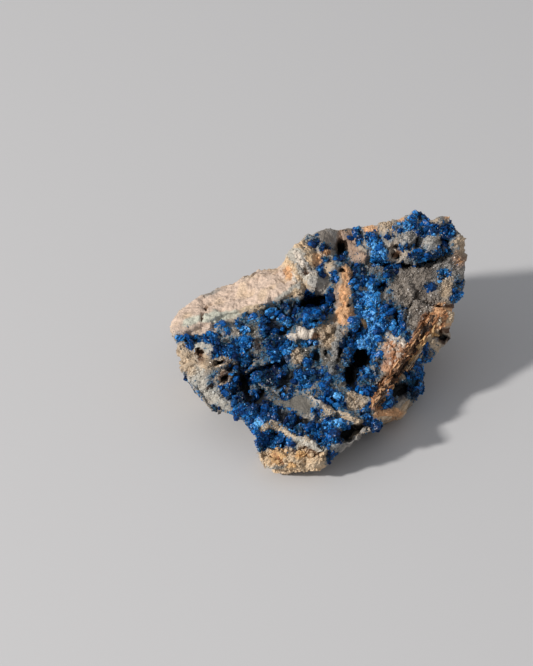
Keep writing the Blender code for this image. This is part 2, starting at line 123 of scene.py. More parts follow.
# The specimen's outline from the display viewpoint, clockwise from the left tip, (across, up).
OUTLINE = (
    (-29.8, 2.4), (-29.2, 4.4), (-27.8, 6.4), (-25.6, 8.0), (-23.4, 9.2), (-21.2, 10.2),
    (-19.2, 10.9), (-17.2, 11.7), (-15.4, 12.7), (-13.4, 13.4), (-11.6, 14.4), (-9.6, 14.7),
    (-8.0, 14.9), (-7.0, 16.1), (-5.8, 17.8), (-4.6, 19.4), (-3.0, 20.7), (-1.4, 21.8),
    (0.4, 22.5), (2.4, 22.8), (4.4, 22.5), (6.0, 23.0), (8.4, 23.0), (10.6, 23.1), (12.6, 23.5),
    (14.6, 24.2), (16.8, 25.0), (18.4, 25.7), (19.9, 26.1), (21.4, 25.5), (22.9, 24.8),
    (24.0, 25.1), (25.0, 25.5), (26.2, 25.8), (27.0, 23.8), (28.2, 22.7), (29.0, 21.4),
    (29.3, 17.6), (29.4, 15.4), (29.1, 12.6), (28.6, 11.0), (27.6, 9.0), (26.9, 7.4), (26.4, 5.4),
    (26.2, 3.2), (26.3, 1.4), (25.5, 0.1), (23.9, -1.2), (22.4, -2.5), (21.3, -3.8), (21.0, -5.4),
    (21.2, -6.6), (20.7, -8.6), (20.0, -10.4), (18.9, -11.9), (17.8, -13.0), (16.4, -14.6),
    (14.4, -15.4), (12.4, -16.1), (11.6, -17.1), (10.4, -17.7), (8.4, -18.6), (7.2, -19.8),
    (5.2, -21.3), (3.4, -22.5), (2.0, -24.4), (0.8, -25.3), (-1.4, -25.7), (-3.8, -25.9),
    (-6.6, -25.7), (-9.4, -25.4), (-10.8, -24.4), (-11.8, -23.4), (-12.1, -21.4), (-11.8, -19.0),
    (-12.6, -17.4), (-14.1, -16.1), (-15.6, -14.9), (-17.1, -13.9), (-19.2, -13.7), (-21.1, -13.4),
    (-22.3, -12.4), (-23.3, -11.0), (-24.2, -9.6), (-25.6, -8.2), (-26.7, -6.6), (-27.5, -4.4),
    (-28.0, -1.9), (-28.3, 0.1), (-29.0, 1.2),
)

# Hollows: across, up, half length, half width, turn in degrees, depth.
VUGS = {
    "bean_vug": (-0.8, 8.2, 3.4, 1.6, 12, 7.0),
    "deep_vug": (8.8, -3.0, 2.0, 2.3, 0, 8.0),
    "deep_vug_foot": (6.5, -6.5, 1.4, 2.4, -10, 7.0),
    "basin": (-8.0, -4.0, 11.0, 7.0, -25, 1.6),
    "basin_low": (-12.8, -9.4, 2.4, 2.8, 0, 2.8),
    "brown_hole_upper": (-23.7, -2.6, 1.2, 0.6, -70, 2.0),
    "brown_hole_middle": (-19.8, -4.0, 1.0, 0.6, 10, 2.2),
    "brown_hole_lower": (-18.9, -7.0, 1.2, 0.8, 30, 2.2),
    "brown_hole_rim": (-21.6, -8.8, 0.7, 0.6, 0, 1.4),
    "ledge_vug": (15.2, 17.8, 1.6, 1.5, 0, 1.8),
    "ledge_end_vug": (24.6, 20.2, 1.5, 1.1, 20, 3.0),
    "top_vug_left": (4.8, 19.4, 1.2, 1.5, 0, 3.0),
    "druse_corner": (12.6, 11.4, 1.6, 1.2, 40, 2.0),
    "lower_right_vug": (6.2, -18.2, 2.6, 1.2, 12, 3.0),
    "pocket": (-8.6, -19.2, 3.4, 2.6, 0, 1.2),
    "side_vug": (17.2, -8.0, 3.4, 2.4, 40, 2.2),
    "side_hole": (23.8, 1.6, 1.1, 0.7, 0, 1.6),
}

# Cracks and ribs along (across, up) points: the points, half width, and height above the face.
LINES = {
    "rind_edge": (((-29.0, 1.8), (-22.0, 5.6), (-13.0, 8.4), (-4.0, 11.6)), 1.3, 1.1),
    "basin_crack": (((-17.0, -10.8), (-14.6, -7.0), (-11.4, -5.2), (-6.4, -3.6)), 0.7, -3.0),
    "ledge_crevice": (((12.0, 16.2), (16.8, 15.6), (22.0, 15.8), (25.6, 17.2)), 0.8, -3.0),
    "side_crack": (((24.6, 7.0), (22.0, 5.4), (20.0, -0.6), (16.2, -6.2), (13.0, -8.2)), 0.5, -2.2),
    "limonite_rib": (((5.0, 15.2), (5.6, 11.4), (5.2, 9.0), (5.4, 5.6), (6.4, 3.8)), 1.5, 1.6),
    "grey_rib": (((4.2, 0.8), (2.8, -2.4), (2.2, -5.4)), 0.9, 1.7),
    "cream_tooth": (((-5.4, 1.8), (-1.6, 2.4), (1.0, 2.0)), 0.9, 1.2),
    "pale_rib": (((-1.4, -11.2), (1.6, -13.2), (5.0, -14.0), (9.0, -16.6)), 0.8, 1.5),
    "cream_ledge": (
        ((-10.6, -16.4), (-7.8, -17.2), (-5.4, -18.8), (-2.8, -19.4), (1.0, -21.4)), 0.9, 1.5
    ),
    "low_rim": (((2.4, -21.2), (6.2, -20.2), (9.0, -18.0)), 0.8, 1.0),
    "top_ledge": (((11.6, 20.6), (16.4, 20.0), (21.0, 20.4), (26.4, 21.4)), 4.2, 2.6),
    "layer_step": (((25.2, 3.4), (21.0, -2.2), (16.6, -8.6), (12.6, -11.6)), 0.8, 0.9),
}

# Round swellings: across, up, radius, height.
LUMPS = {
    "grey_brow": (1.4, 21.0, 3.0, 1.6),
    "tan_brow": (-3.6, 16.8, 3.2, 1.2),
    "cream_lobe": (-0.4, 12.4, 2.3, 1.6),
    "rosy_lobe": (8.0, 17.8, 2.0, 1.0),
    "ledge_lobe_left": (18.0, 20.4, 1.7, 0.9),
    "ledge_lobe_right": (22.8, 19.8, 1.9, 1.0),
    "blue_crown": (20.4, 23.8, 2.6, 1.6),
    "salmon_lobe": (15.6, -1.8, 2.8, 1.3),
    "grey_shelf": (11.0, -4.2, 1.8, 1.2),
    "side_lobe": (24.6, 4.0, 2.0, 1.2),
    "blue_lobe": (-0.2, 5.0, 2.2, 1.4),
    "foot_lobe_left": (-8.6, -23.2, 2.4, 1.2),
    "foot_lobe_middle": (-4.6, -23.4, 2.0, 1.1),
    "foot_lobe_right": (-0.6, -23.8, 2.0, 1.2),
    "low_side_lobe": (13.0, -15.6, 2.2, 1.4),
}

# Blue crystal patches, under the CAD crust each belongs to: across, up, half length, half width, turn.
PATCHES = {
    "left_tip_crystals": (
        (-26.4, 1.0, 1.7, 1.6, 0), (-23.6, 1.4, 1.8, 1.0, 0), (-21.4, 0.4, 1.8, 1.6, 0),
        (-19.2, 3.2, 1.3, 1.0, -20), (-19.2, 1.8, 1.2, 0.7, 0),
    ),
    "basin_crystals": (
        (-20.0, -1.4, 1.4, 1.6, 0), (-18.0, -2.2, 2.0, 0.8, 0), (-16.0, -0.6, 2.6, 1.3, 0),
        (-14.6, -0.2, 1.4, 1.8, 0), (-12.8, -2.6, 1.0, 0.6, 0), (-15.6, -4.2, 2.4, 1.4, 0),
        (-9.2, -2.6, 2.0, 2.6, 0), (-6.8, -0.6, 1.6, 3.4, 0), (-5.0, -1.6, 0.8, 1.4, 0),
        (-8.6, 2.2, 2.4, 2.0, 0), (-17.0, -6.2, 1.8, 2.2, 0), (-14.2, -8.4, 0.9, 1.2, 0),
        (-18.0, -9.8, 1.8, 2.6, 0), (-21.0, -8.0, 0.8, 1.6, 0), (-8.6, -6.4, 4.6, 2.2, 0),
        (-3.2, -7.0, 3.4, 2.2, 0), (-6.6, -10.0, 1.4, 1.0, 0), (-13.2, -11.8, 3.4, 3.0, 0),
        (-14.8, -13.8, 4.0, 1.8, -30), (-10.0, -13.8, 2.6, 1.6, 0), (2.0, -6.4, 3.4, 1.4, 0),
        (-1.6, 0.2, 1.8, 0.7, 0), (-0.6, -3.0, 1.0, 1.4, 0), (-1.8, -3.6, 1.4, 0.8, 20),
        (6.2, -3.0, 0.9, 1.8, 0), (5.4, -0.2, 1.3, 0.9, 0), (2.6, -2.0, 0.4, 0.4, 0),
        (-24.9, -8.6, 2.6, 0.5, -55), (-19.4, -13.1, 2.4, 0.5, -10),
    ),
    "upper_basin_crystals": (
        (-13.2, 5.4, 1.6, 1.2, 30), (-15.8, 3.6, 0.8, 0.9, 0), (-14.8, 2.8, 0.8, 0.6, 0),
        (-9.0, 6.0, 2.4, 1.6, 0), (-7.2, 8.0, 0.6, 0.7, 0), (-10.4, 4.2, 1.3, 1.3, 0),
        (-5.0, 5.8, 1.8, 2.4, 0), (-1.0, 5.6, 2.6, 1.8, 0), (-2.0, 9.8, 1.0, 0.9, 0),
        (2.8, 9.0, 0.9, 1.6, 0), (1.8, 7.0, 0.9, 0.9, 0), (-1.8, 3.4, 1.0, 0.6, 0),
        (-5.8, 3.4, 1.0, 0.9, 0),
    ),
    "lower_band_crystals": (
        (-5.6, -15.2, 3.6, 1.3, -15), (-2.6, -17.2, 3.6, 1.4, -10), (-0.4, -14.2, 0.9, 1.3, 0),
        (1.6, -18.2, 2.0, 2.6, 0), (2.8, -19.6, 1.6, 1.8, 0), (5.4, -15.8, 2.4, 1.1, -10),
        (2.8, -22.8, 1.4, 0.9, 45), (11.0, -17.0, 1.6, 1.0, 20), (9.6, -15.6, 0.9, 1.0, 0),
    ),
    "pale_rib_crystals": (
        (2.8, -11.2, 3.2, 1.8, -20), (0.2, -10.6, 1.2, 1.4, 0), (7.8, -14.2, 1.1, 0.5, 0),
        (9.6, -11.2, 1.5, 2.6, 0), (8.8, -9.2, 2.8, 1.2, 0), (1.6, -9.4, 1.4, 1.0, 0),
    ),
    "pocket_crystals": (
        (-10.0, -19.4, 1.9, 2.3, 0), (-6.6, -19.8, 1.8, 1.8, 0), (-12.4, -16.8, 1.0, 1.6, 0),
    ),
    "vein_crystals": (
        (7.8, 15.4, 1.2, 1.9, 0), (7.6, 12.0, 1.3, 1.6, 0), (10.4, 12.2, 2.2, 1.4, -20),
        (12.6, 11.6, 1.0, 1.2, 0), (8.4, 9.2, 1.6, 1.6, 0), (10.6, 8.0, 1.4, 1.9, 0),
        (8.4, 6.0, 1.2, 2.2, -20), (10.4, 5.0, 1.4, 2.2, 0), (11.6, 2.6, 1.9, 2.6, 0),
        (8.0, 2.0, 2.0, 2.4, 0), (6.2, 4.0, 0.9, 0.8, 0), (9.6, -0.4, 2.4, 1.2, 0),
    ),
    "upper_vein_crystals": (
        (11.9, 17.8, 1.5, 2.4, 10), (11.2, 21.0, 1.3, 1.4, 0), (11.4, 16.0, 0.9, 0.7, 0),
        (13.8, 15.6, 0.9, 1.6, 0), (13.8, 13.4, 0.8, 1.2, 0), (15.6, 15.4, 0.7, 0.9, 0),
        (5.0, 17.0, 1.5, 1.3, 0), (-1.2, 19.8, 1.0, 1.5, -35), (1.4, 19.2, 1.2, 0.5, 0),
        (1.4, 16.6, 0.6, 0.6, 0), (0.4, 14.6, 0.8, 1.1, 0), (3.2, 13.4, 0.7, 0.9, 0),
    ),
    "top_left_crystals": ((7.2, 21.6, 1.5, 1.6, 0),),
    "crown_crystals": (
        (20.0, 25.0, 1.6, 1.0, 0), (21.6, 23.0, 1.9, 1.3, 0), (18.4, 24.2, 0.9, 0.7, 0),
        (16.8, 22.6, 1.5, 1.2, 35), (14.4, 21.4, 1.0, 0.8, 0), (25.4, 22.2, 2.4, 1.2, 0),
        (27.2, 21.8, 0.7, 0.8, 0), (20.0, 19.2, 0.8, 1.6, 0), (21.4, 17.4, 2.1, 1.2, 15),
        (25.2, 18.4, 1.9, 0.8, 20), (17.8, 19.2, 0.9, 0.5, 0), (19.0, 17.6, 0.6, 0.4, 0),
    ),
    "slope_crystals": (
        (14.2, 6.2, 1.8, 2.0, -30), (15.4, 4.4, 1.6, 2.2, 0), (15.4, 2.0, 2.4, 1.2, -25),
        (18.0, 1.4, 1.4, 0.9, -20), (17.4, 7.0, 0.5, 0.4, 0),
    ),
    "deep_vug_crystals": (
        (12.2, -2.8, 1.7, 1.6, -30), (9.4, -6.4, 2.0, 1.4, 0), (10.6, -1.0, 0.8, 0.8, 0),
    ),
    "side_crystals": (
        (21.6, -1.8, 2.2, 0.9, 60), (19.8, -4.6, 0.8, 2.0, 0), (18.0, -6.8, 1.4, 0.8, 0),
        (19.4, -8.6, 1.2, 2.6, 0), (13.8, -10.0, 1.0, 0.8, 0), (14.0, -12.0, 1.4, 0.9, 0),
        (22.4, -0.4, 1.0, 0.6, 0),
    ),
    "right_edge_crystals": (
        (27.3, 10.4, 0.9, 1.9, -10), (28.0, 12.0, 0.7, 0.5, 0), (25.2, 14.0, 0.9, 0.5, 0),
        (25.0, 12.4, 0.8, 0.8, -30), (22.2, 11.0, 1.1, 0.5, 0), (14.4, 10.0, 0.5, 0.4, 0),
        (28.4, 15.4, 0.7, 0.3, 0),
    ),
}

# Crystals large enough to stand out singly, under their crust: across, up, size.
SINGLE_CRYSTALS = {
    "left_tip_crystals": ((-19.0, 3.4, 2.1), (-26.2, 1.3, 1.4), (-21.4, 0.6, 1.3)),
    "basin_crystals": (
        (-15.0, -0.6, 1.6), (-9.4, -2.4, 1.9), (-7.4, -1.2, 1.8), (-8.6, 2.4, 1.7), (-16.6, -6.8, 1.6),
        (-12.6, -10.6, 1.8), (-8.0, -6.8, 1.7), (-2.8, -6.6, 1.6), (2.2, -6.6, 1.6), (5.6, -0.4, 1.4),
        (-17.4, -10.6, 1.7), (-10.4, -13.4, 1.6), (-14.8, -13.2, 1.5),
    ),
    "upper_basin_crystals": (
        (-8.4, 6.0, 2.0), (-9.8, 5.2, 1.5), (-7.2, 5.0, 1.6), (-0.4, 5.8, 2.2), (1.0, 5.2, 1.7),
        (-1.8, 5.0, 1.8), (2.5, 8.6, 1.6), (-12.8, 5.2, 1.4), (-4.8, 5.0, 1.6), (-2.0, 9.6, 1.4),
    ),
    "pocket_crystals": ((-10.2, -19.6, 2.0), (-6.8, -20.0, 1.8), (-9.4, -18.2, 1.4)),
    "lower_band_crystals": (
        (4.4, -15.8, 1.8), (-5.6, -15.4, 1.5), (-1.8, -17.0, 1.5), (2.4, -19.0, 1.7),
    ),
    "pale_rib_crystals": ((1.8, -10.4, 1.7), (9.4, -10.4, 1.6), (8.0, -9.0, 1.3)),
    "vein_crystals": (
        (8.4, 9.4, 1.6), (10.4, 5.4, 1.7), (11.8, 2.4, 1.8), (8.2, 2.0, 1.8), (7.6, 12.4, 1.5),
        (10.8, 12.2, 1.5), (7.8, 15.4, 1.5), (9.8, -0.2, 1.6),
    ),
    "upper_vein_crystals": (
        (4.8, 17.0, 2.2), (3.8, 16.2, 1.5), (11.7, 16.4, 1.8), (12.4, 18.8, 1.6), (11.2, 21.0, 1.5),
        (13.8, 13.2, 1.6), (-1.2, 19.8, 1.5), (15.4, 15.4, 1.2),
    ),
    "top_left_crystals": ((7.6, 21.8, 1.8), (6.6, 20.8, 1.5)),
    "crown_crystals": (
        (19.4, 25.0, 1.7), (21.4, 23.4, 1.8), (16.6, 22.6, 1.5), (25.4, 22.2, 1.7), (21.6, 17.4, 1.7),
        (25.4, 18.4, 1.5), (20.2, 18.6, 1.3),
    ),
    "slope_crystals": ((14.6, 6.2, 2.0), (15.6, 4.4, 1.8), (13.6, 7.2, 1.5), (15.6, 2.2, 1.4)),
    "deep_vug_crystals": ((12.2, -2.6, 1.6), (9.6, -6.6, 1.7)),
    "side_crystals": ((21.4, -1.8, 1.5), (19.8, -5.0, 1.6), (19.6, -9.0, 1.5), (18.0, -6.8, 1.3)),
    "right_edge_crystals": ((27.2, 10.6, 1.4), (27.6, 8.8, 1.1)),
}

# Ovals without bare spots among the crystals.
DENSE = (
    (-4.4, -15.9, 4.8, 1.5, -14), (1.6, -17.6, 2.8, 2.8, 0), (-12.4, -12.8, 4.6, 2.8, -20),
    (-16.4, -8.8, 2.6, 4.0, 15), (-9.4, -7.2, 3.4, 1.5, 10), (9.4, 5.0, 2.6, 7.0, -8),
    (21.0, 23.4, 3.6, 1.8, 10), (11.9, 18.4, 1.8, 3.2, 8), (-9.0, -19.4, 3.4, 2.4, 0),
)

# Painted light and painted shade on the crystals: where the blue is brighter (or, below zero, deeper)
# than usual: across, up, radius, by how much.
PAINTED_BLUE_LIGHT_AND_SHADE = (
    (11.8, 18.6, 2.8, 0.16), (16.8, 22.4, 1.7, 0.35), (-26.2, 1.0, 2.0, 0.2),
    (4.2, -16.0, 1.7, 0.45), (15.0, 5.4, 2.4, 0.15), (10.6, 5.8, 3.0, 0.42), (9.6, 1.4, 2.2, 0.36),
    (9.0, 11.0, 3.0, 0.12), (-7.0, 2.2, 1.6, 0.3), (-9.6, -2.8, 1.8, 0.2), (-5.0, -1.4, 1.4, 0.22),
    (0.6, -10.4, 2.0, 0.35), (-14.8, 0.0, 1.8, 0.15), (-17.0, -7.2, 1.6, 0.25),
    (20.2, 24.8, 1.6, 0.12), (25.2, 12.6, 1.5, 0.2), (-9.2, 6.0, 1.8, 0.12),
    (4.8, 17.0, 1.9, -0.25), (7.4, 21.6, 1.9, -0.22), (21.4, 22.6, 1.5, -0.22),
    (-18.9, 3.3, 1.3, -0.3), (-13.0, -10.4, 4.6, -0.3), (-8.0, -6.6, 3.2, -0.22),
    (0.4, -6.8, 3.0, -0.2), (-11.0, -6.0, 9.0, -0.08), (-4.0, 4.0, 6.0, -0.1),
    (-3.0, -16.0, 4.0, 0.06), (11.0, -6.2, 2.4, -0.2), (-8.6, -19.4, 3.4, 0.16),
    (17.0, -8.0, 3.4, -0.2), (13.8, 14.6, 1.6, -0.2), (23.4, 22.2, 3.4, 0.16),
)

# Stone colours, as they show in daylight, in 8-bit red, green and blue.
TONES = {
    "peach": (201, 178, 160),
    "cream": (174, 168, 157),
    "sand": (194, 172, 144),
    "white": (206, 194, 180),
    "mint": (188, 187, 172),
    "tan": (180, 160, 136),
    "olive": (114, 109, 101),
    "grey": (141, 137, 132),
    "pale_grey": (158, 153, 146),
    "grey_brown": (132, 123, 114),
    "rosy": (160, 134, 114),
    "salmon": (184, 140, 108),
    "ochre": (198, 172, 140),
    "gold": (208, 168, 118),
    "limonite": (206, 160, 118),
    "rust": (156, 106, 70),
    "brown": (98, 70, 50),
    "umber": (52, 38, 30),
    # Painted shade, not a colour of the stone: laid over the side vug.
    "shade_blue_black": (18, 28, 42),
    "black": (8, 8, 9),
}

# Linear colours: of the crystals at so much tint, of the small ones at a crust's edge, of the stone
# stained beside a crust, and of the ground under it, deep blue darkened to near black as painted shade.
BLUE_STOPS = (0.0, 0.3, 0.55, 0.8, 1.0)
BLUES = (
    (0.001, 0.006, 0.030), (0.001, 0.026, 0.115), (0.003, 0.078, 0.285), (0.018, 0.195, 0.530),
    (0.120, 0.380, 0.730),
)
TEAL = (0.030, 0.130, 0.170)
TEAL_STAIN = (0.012, 0.120, 0.220)
BLUE_GROUND_AND_SHADE = (0.001, 0.024, 0.078)

# Coloured grounds of the display face, painted in this order: tone, then ovals as for PATCHES.
GROUNDS = (
    ("olive", ((-6.0, 4.0, 9.0, 5.5, 0), (-4.0, -3.0, 9.0, 6.0, 0), (8.0, -10.0, 8.0, 6.0, 0),
               (10.6, 13.0, 4.0, 5.0, 0))),
    ("grey_brown", ((20.5, 12.5, 8.0, 4.0, 5), (19.5, 7.5, 6.8, 4.4, -20), (17.5, 4.5, 4, 3, 0))),
    ("grey", ((26.0, 14.0, 3.4, 5.0, 0), (18.2, 20.8, 2.2, 2.0, 0), (23.0, 19.6, 2.2, 2.6, 0),
              (19.4, 16.6, 3.0, 1.4, 0), (1.6, 20.8, 2.8, 2.2, 0), (9.2, 11.0, 1.5, 0.8, 0),
              (24.4, 24.0, 1.4, 1.2, 0))),
    ("rosy", ((5.8, 21.4, 1.8, 1.6, 0), (6.8, 18.6, 1.3, 2.4, 20), (8.4, 17.2, 1.6, 1.3, 0),
              (28.2, 16.8, 1.4, 2.0, 0), (4.0, 9.4, 0.7, 2.8, 0))),
    ("tan", ((28.6, 20.4, 1.4, 2.8, 0), (25.6, 11.0, 1.2, 2.2, 0), (-4.2, 11.2, 3.4, 1.8, 30))),
    ("peach", ((-24.5, 5.2, 5.6, 3.2, 30), (-17.0, 8.8, 6.4, 3.2, 28), (-10.0, 11.6, 6.2, 3.4, 30),
               (-7.6, 13.2, 3.2, 2.6, 45), (-23.4, 3.2, 3.0, 1.4, -10))),
    ("mint", ((-20.0, 5.4, 4.6, 1.1, 8), (-25.4, 4.2, 2.0, 0.9, 25))),
    ("sand", ((-13.4, 6.8, 2.8, 0.7, 12), (-5.0, 10.2, 1.2, 0.8, 0))),
    ("cream", ((-5.5, 10.6, 3.4, 0.6, 30), (-23.0, -0.9, 2.4, 1.1, -20), (-24.4, -6.6, 1.7, 3.2, 30),
               (-20.2, -11.0, 4.0, 1.3, -38))),
    ("olive", ((-20.4, -5.2, 1.6, 2.8, 0),)),
    ("tan", ((-26.4, -3.2, 1.5, 3.6, 15), (2.4, 14.8, 1.2, 1.5, 0), (13.6, 23.0, 1.6, 1.4, 0),
             (1.6, 1.4, 2.0, 2.2, 0), (7.4, -11.6, 2.4, 1.9, -30), (-4.4, -2.6, 1.0, 2.0, 0))),
    ("ochre", ((-3.6, 16.6, 3.8, 4.0, 0), (-9.5, -23.9, 3.4, 2.3, 0), (-3.5, -24.0, 5.2, 2.9, 0),
               (-0.6, -21.6, 2.6, 1.2, -20))),
    ("cream", ((-4.6, 17.4, 2.2, 1.4, -30), (-2.0, 14.0, 2.6, 1.6, -40), (-9.0, -25.0, 2.6, 0.4, 5))),
    ("sand", ((-5.0, -23.2, 3.4, 0.6, -4), (-1.2, -24.6, 2.6, 0.7, 10))),
    ("white", ((-2.6, 15.6, 3.2, 0.8, -50), (15.2, 0.8, 2.4, 0.7, -15), (15.3, 17.7, 1.7, 1.4, 0),
               (-5.4, 13.6, 1.6, 0.6, -40), (23.6, 20.2, 0.7, 1.4, 0), (6.0, -20.6, 1.8, 0.7, 30))),
    ("grey", ((-1.6, 15.4, 2.6, 0.35, -50), (-3.4, 14.8, 2.2, 0.25, -45))),
    ("limonite", ((5.8, 13.8, 1.25, 2.1, 0), (5.4, 9.6, 1.2, 2.8, 0), (5.4, 5.6, 1.9, 2.1, 0),
                  (-0.2, 16.8, 1.0, 1.4, 0), (1.6, 18.2, 1.1, 0.7, 0), (-6.0, 13.8, 1.0, 1.4, 0),
                  (10.2, 22.8, 1.5, 0.7, 0), (25.9, 25.4, 0.9, 0.6, 0), (16.6, 24.8, 0.9, 0.6, 0),
                  (28.0, 16.2, 0.6, 0.5, 0))),
    ("gold", ((9.2, 4.2, 0.5, 1.2, 30), (-8.2, -22.9, 1.6, 1.4, -40), (-3.6, -22.6, 1.6, 0.7, 0),
              (-5.6, -24.6, 1.0, 0.5, 0))),
    ("grey_brown", ((1.2, 21.2, 2.4, 1.4, -10),)),
    ("pale_grey", ((18.0, 20.9, 1.6, 1.1, 0), (22.4, 19.4, 1.3, 1.5, 0), (20.0, 24.6, 0.7, 0.5, 0),
                   (8.6, 10.8, 1.2, 0.7, 0), (-0.6, 12.0, 1.4, 0.8, 0))),
    ("tan", ((23.3, 24.1, 1.3, 0.7, -35), (13.6, 22.8, 1.4, 1.1, 0))),
    ("grey_brown", ((11.2, -5.6, 1.8, 2.6, 15), (11.6, 14.4, 1.7, 1.7, 0),
                    (-11.8, 0.4, 1.2, 2.2, 0))),
    ("olive", ((-5.2, -12.2, 4.6, 2.4, -8),)),
    ("tan", ((-19.6, -4.0, 2.0, 1.2, 10), (-18.9, -6.9, 1.9, 1.4, 30))),
    ("salmon", ((15.4, -2.0, 2.4, 2.9, 0), (13.8, -4.6, 1.3, 1.4, 0))),
    ("rust", ((16.0, -3.6, 1.6, 0.9, -35),)),
    ("white", ((-3.6, 1.8, 2.8, 0.85, 6), (15.8, 0.4, 2.2, 0.7, -28))),
    ("limonite", ((24.6, 5.4, 2.2, 2.6, 0), (13.8, -14.2, 2.8, 1.2, 10))),
    ("sand", ((25.8, 5.0, 0.6, 1.5, 15), (24.2, 4.4, 0.5, 1.0, 0), (22.8, 0.4, 2.2, 0.7, -60),
              (12.6, -15.2, 2.4, 0.4, 12))),
    ("brown", ((-0.8, 0.9, 1.4, 0.7, 15), (4.6, 2.0, 1.2, 1.0, 0), (-2.2, 14.0, 0.7, 0.5, 0),
               (15.6, 17.8, 1.2, 0.9, 0), (-23.5, -2.8, 0.8, 1.6, 25), (-19.4, -4.0, 1.3, 0.7, 0),
               (-18.9, -6.9, 1.3, 1.0, 0), (-21.6, -8.9, 0.5, 0.5, 0),
               (24.8, 1.0, 1.3, 0.8, 0), (-22.4, 7.2, 0.6, 0.3, 20), (-23.2, 5.4, 0.3, 0.7, 20))),
    # Painted shade over the side vug, where the side turns from the light.
    ("shade_blue_black", ((17.4, -8.6, 3.2, 2.4, 30),)),
    ("umber", ((24.9, 1.2, 1.2, 0.8, 0), (5.0, 14.8, 0.4, 0.4, 0), (6.4, 7.6, 0.3, 0.3, 0),
               (-12.4, -0.6, 0.8, 0.9, 0))),
)

# Grounds that no blue crystal grows on.
BARE_TONES = (
    "peach", "mint", "cream", "sand", "white", "tan", "pale_grey", "ochre", "limonite", "gold",
    "salmon", "rust", "rosy", "brown", "umber",
)

# Coloured bands: tone, points of the line, half width.
BANDS = (
    ("brown", ((26.6, 7.6), (24.0, 6.6), (22.0, 3.8)), 0.4),
    ("rust", ((22.0, 4.6), (20.0, 1.2), (18.2, -2.0), (16.0, -5.4), (13.4, -8.4), (11.4, -12.6)), 1.25),
    ("limonite", ((23.2, 5.6), (22.4, 3.0), (21.2, 0.8)), 0.75),
    ("brown", ((20.4, 1.4), (18.8, -0.8), (17.6, -3.0)), 0.75),
    ("limonite", ((20.9, -0.4), (19.4, -2.6), (18.2, -5.0)), 0.45),
    ("brown", ((16.4, -4.6), (14.8, -6.2), (13.4, -7.4)), 0.8),
    ("tan", ((16.8, -6.8), (14.8, -7.6), (12.8, -9.0)), 0.6),
    ("brown", ((12.4, -9.4), (11.6, -11.0), (11.0, -12.6)), 0.7),
    ("umber", ((21.4, 3.4), (19.8, 0.2), (17.8, -3.6), (15.8, -6.0), (12.6, -8.2)), 0.24),
    ("brown", ((26.9, 7.2), (27.1, 4.6), (26.2, 2.6), (24.6, 2.2)), 0.28),
    ("rust", ((24.8, 6.6), (25.3, 4.4), (24.8, 2.8)), 0.25),
    ("white", ((-1.4, -11.2), (1.0, -12.6), (3.6, -13.8)), 0.4),
    ("sand", ((1.8, -13.0), (5.4, -14.6), (8.6, -16.4)), 0.65),
    ("sand", ((-11.2, -17.2), (-9.6, -15.9), (-6.8, -17.6), (-3.8, -19.2), (-1.2, -20.6)), 0.8),
    ("cream", ((-3.8, -19.6), (-1.2, -20.6), (1.2, -21.4)), 0.7),
    ("brown", ((-11.8, -21.3), (-9.0, -20.9), (-5.6, -21.6), (-2.4, -20.9), (-0.6, -22.0)), 0.22),
    ("rust", ((-8.6, -22.0), (-8.3, -23.3), (-7.0, -24.2)), 0.25),
    ("brown", ((-2.8, -21.6), (-0.8, -22.6), (0.8, -22.7)), 0.22),
    ("umber", ((19.9, 10.6), (19.2, 8.6), (17.8, 6.6), (17.2, 4.2)), 0.16),
    ("umber", ((20.0, 9.4), (21.6, 8.0), (23.6, 7.6)), 0.12),
    ("grey", ((3.4, -21.2), (6.0, -20.0), (10.0, -17.8)), 0.9),
    ("grey", ((4.6, 2.8), (3.6, -0.6), (3.0, -3.4), (3.0, -6.0)), 0.8),
)

# Tones of the side's thin plates, one layer after another.
PLATE_TONES = ("limonite", "brown", "umber", "rust", "gold", "tan", "umber", "brown", "rust")

# Hollows so deep that no light reaches their floor: across, up, half length, half width, turn, and how
# much deeper they go than the vugs they lie in.
DARK_HOLLOWS = (
    (-1.1, 8.1, 3.1, 1.25, 20, 3.0), (8.7, -3.0, 2.0, 2.3, 0, 3.0), (6.6, -6.2, 1.6, 2.4, -20, 3.0),
    (4.6, 18.8, 0.8, 1.3, -10, 2.5), (25.7, 20.0, 0.9, 0.9, 0, 1.5),
    (12.8, 11.6, 1.0, 0.6, 40, 2.0), (6.8, -17.9, 2.9, 1.2, 22, 2.5),
    (16.2, -9.6, 2.1, 1.3, 25, 2.0), (-2.4, -15.6, 1.1, 0.4, -15, 1.0),
    (-14.8, -8.4, 1.1, 2.6, 10, 2.2), (-11.6, -10.8, 1.0, 1.8, -25, 2.0),
    (-13.2, -5.8, 1.4, 0.45, 40, 1.6), (-9.0, -4.2, 2.2, 0.4, 20, 1.6),
    (-8.8, -18.4, 0.5, 1.0, 10, 1.8), (-6.8, -20.0, 0.6, 0.9, -10, 1.8),
    (-16.8, -5.0, 1.0, 0.4, 30, 1.2), (4.4, -1.6, 0.4, 1.4, -5, 1.2),
    (4.9, 14.8, 0.42, 0.42, 0, 1.5), (6.3, 7.5, 0.25, 0.25, 0, 0.8),
    (22.4, 16.4, 2.2, 0.35, 10, 1.5), (17.4, 15.6, 1.3, 0.35, 0, 1.5),
    (16.2, 17.2, 0.4, 0.5, 0, 1.2), (14.9, 17.4, 0.35, 0.4, 0, 1.2),
    (25.0, 1.2, 0.8, 0.5, -10, 1.5), (15.8, 19.4, 0.8, 0.35, 0, 1.2),
    (20.0, 20.8, 0.3, 0.8, 0, 1.0), (-0.7, 4.4, 0.8, 0.35, 0, 1.0),
    (-19.7, -4.0, 0.95, 0.5, 10, 1.2), (-19.0, -7.0, 0.75, 0.5, 30, 1.0),
    (8.6, 22.0, 0.5, 0.7, 0, 1.0), (17.9, -3.4, 2.8, 0.4, 55, 1.5), (15.0, -6.2, 1.0, 0.3, 40, 1.2),
    (21.2, 2.6, 1.6, 0.2, 55, 1.0), (0.6, -21.0, 1.0, 0.25, -35, 0.8),
    (1.6, -2.2, 0.3, 0.8, 0, 0.8), (-7.0, -8.6, 1.4, 0.3, 15, 0.8),
)

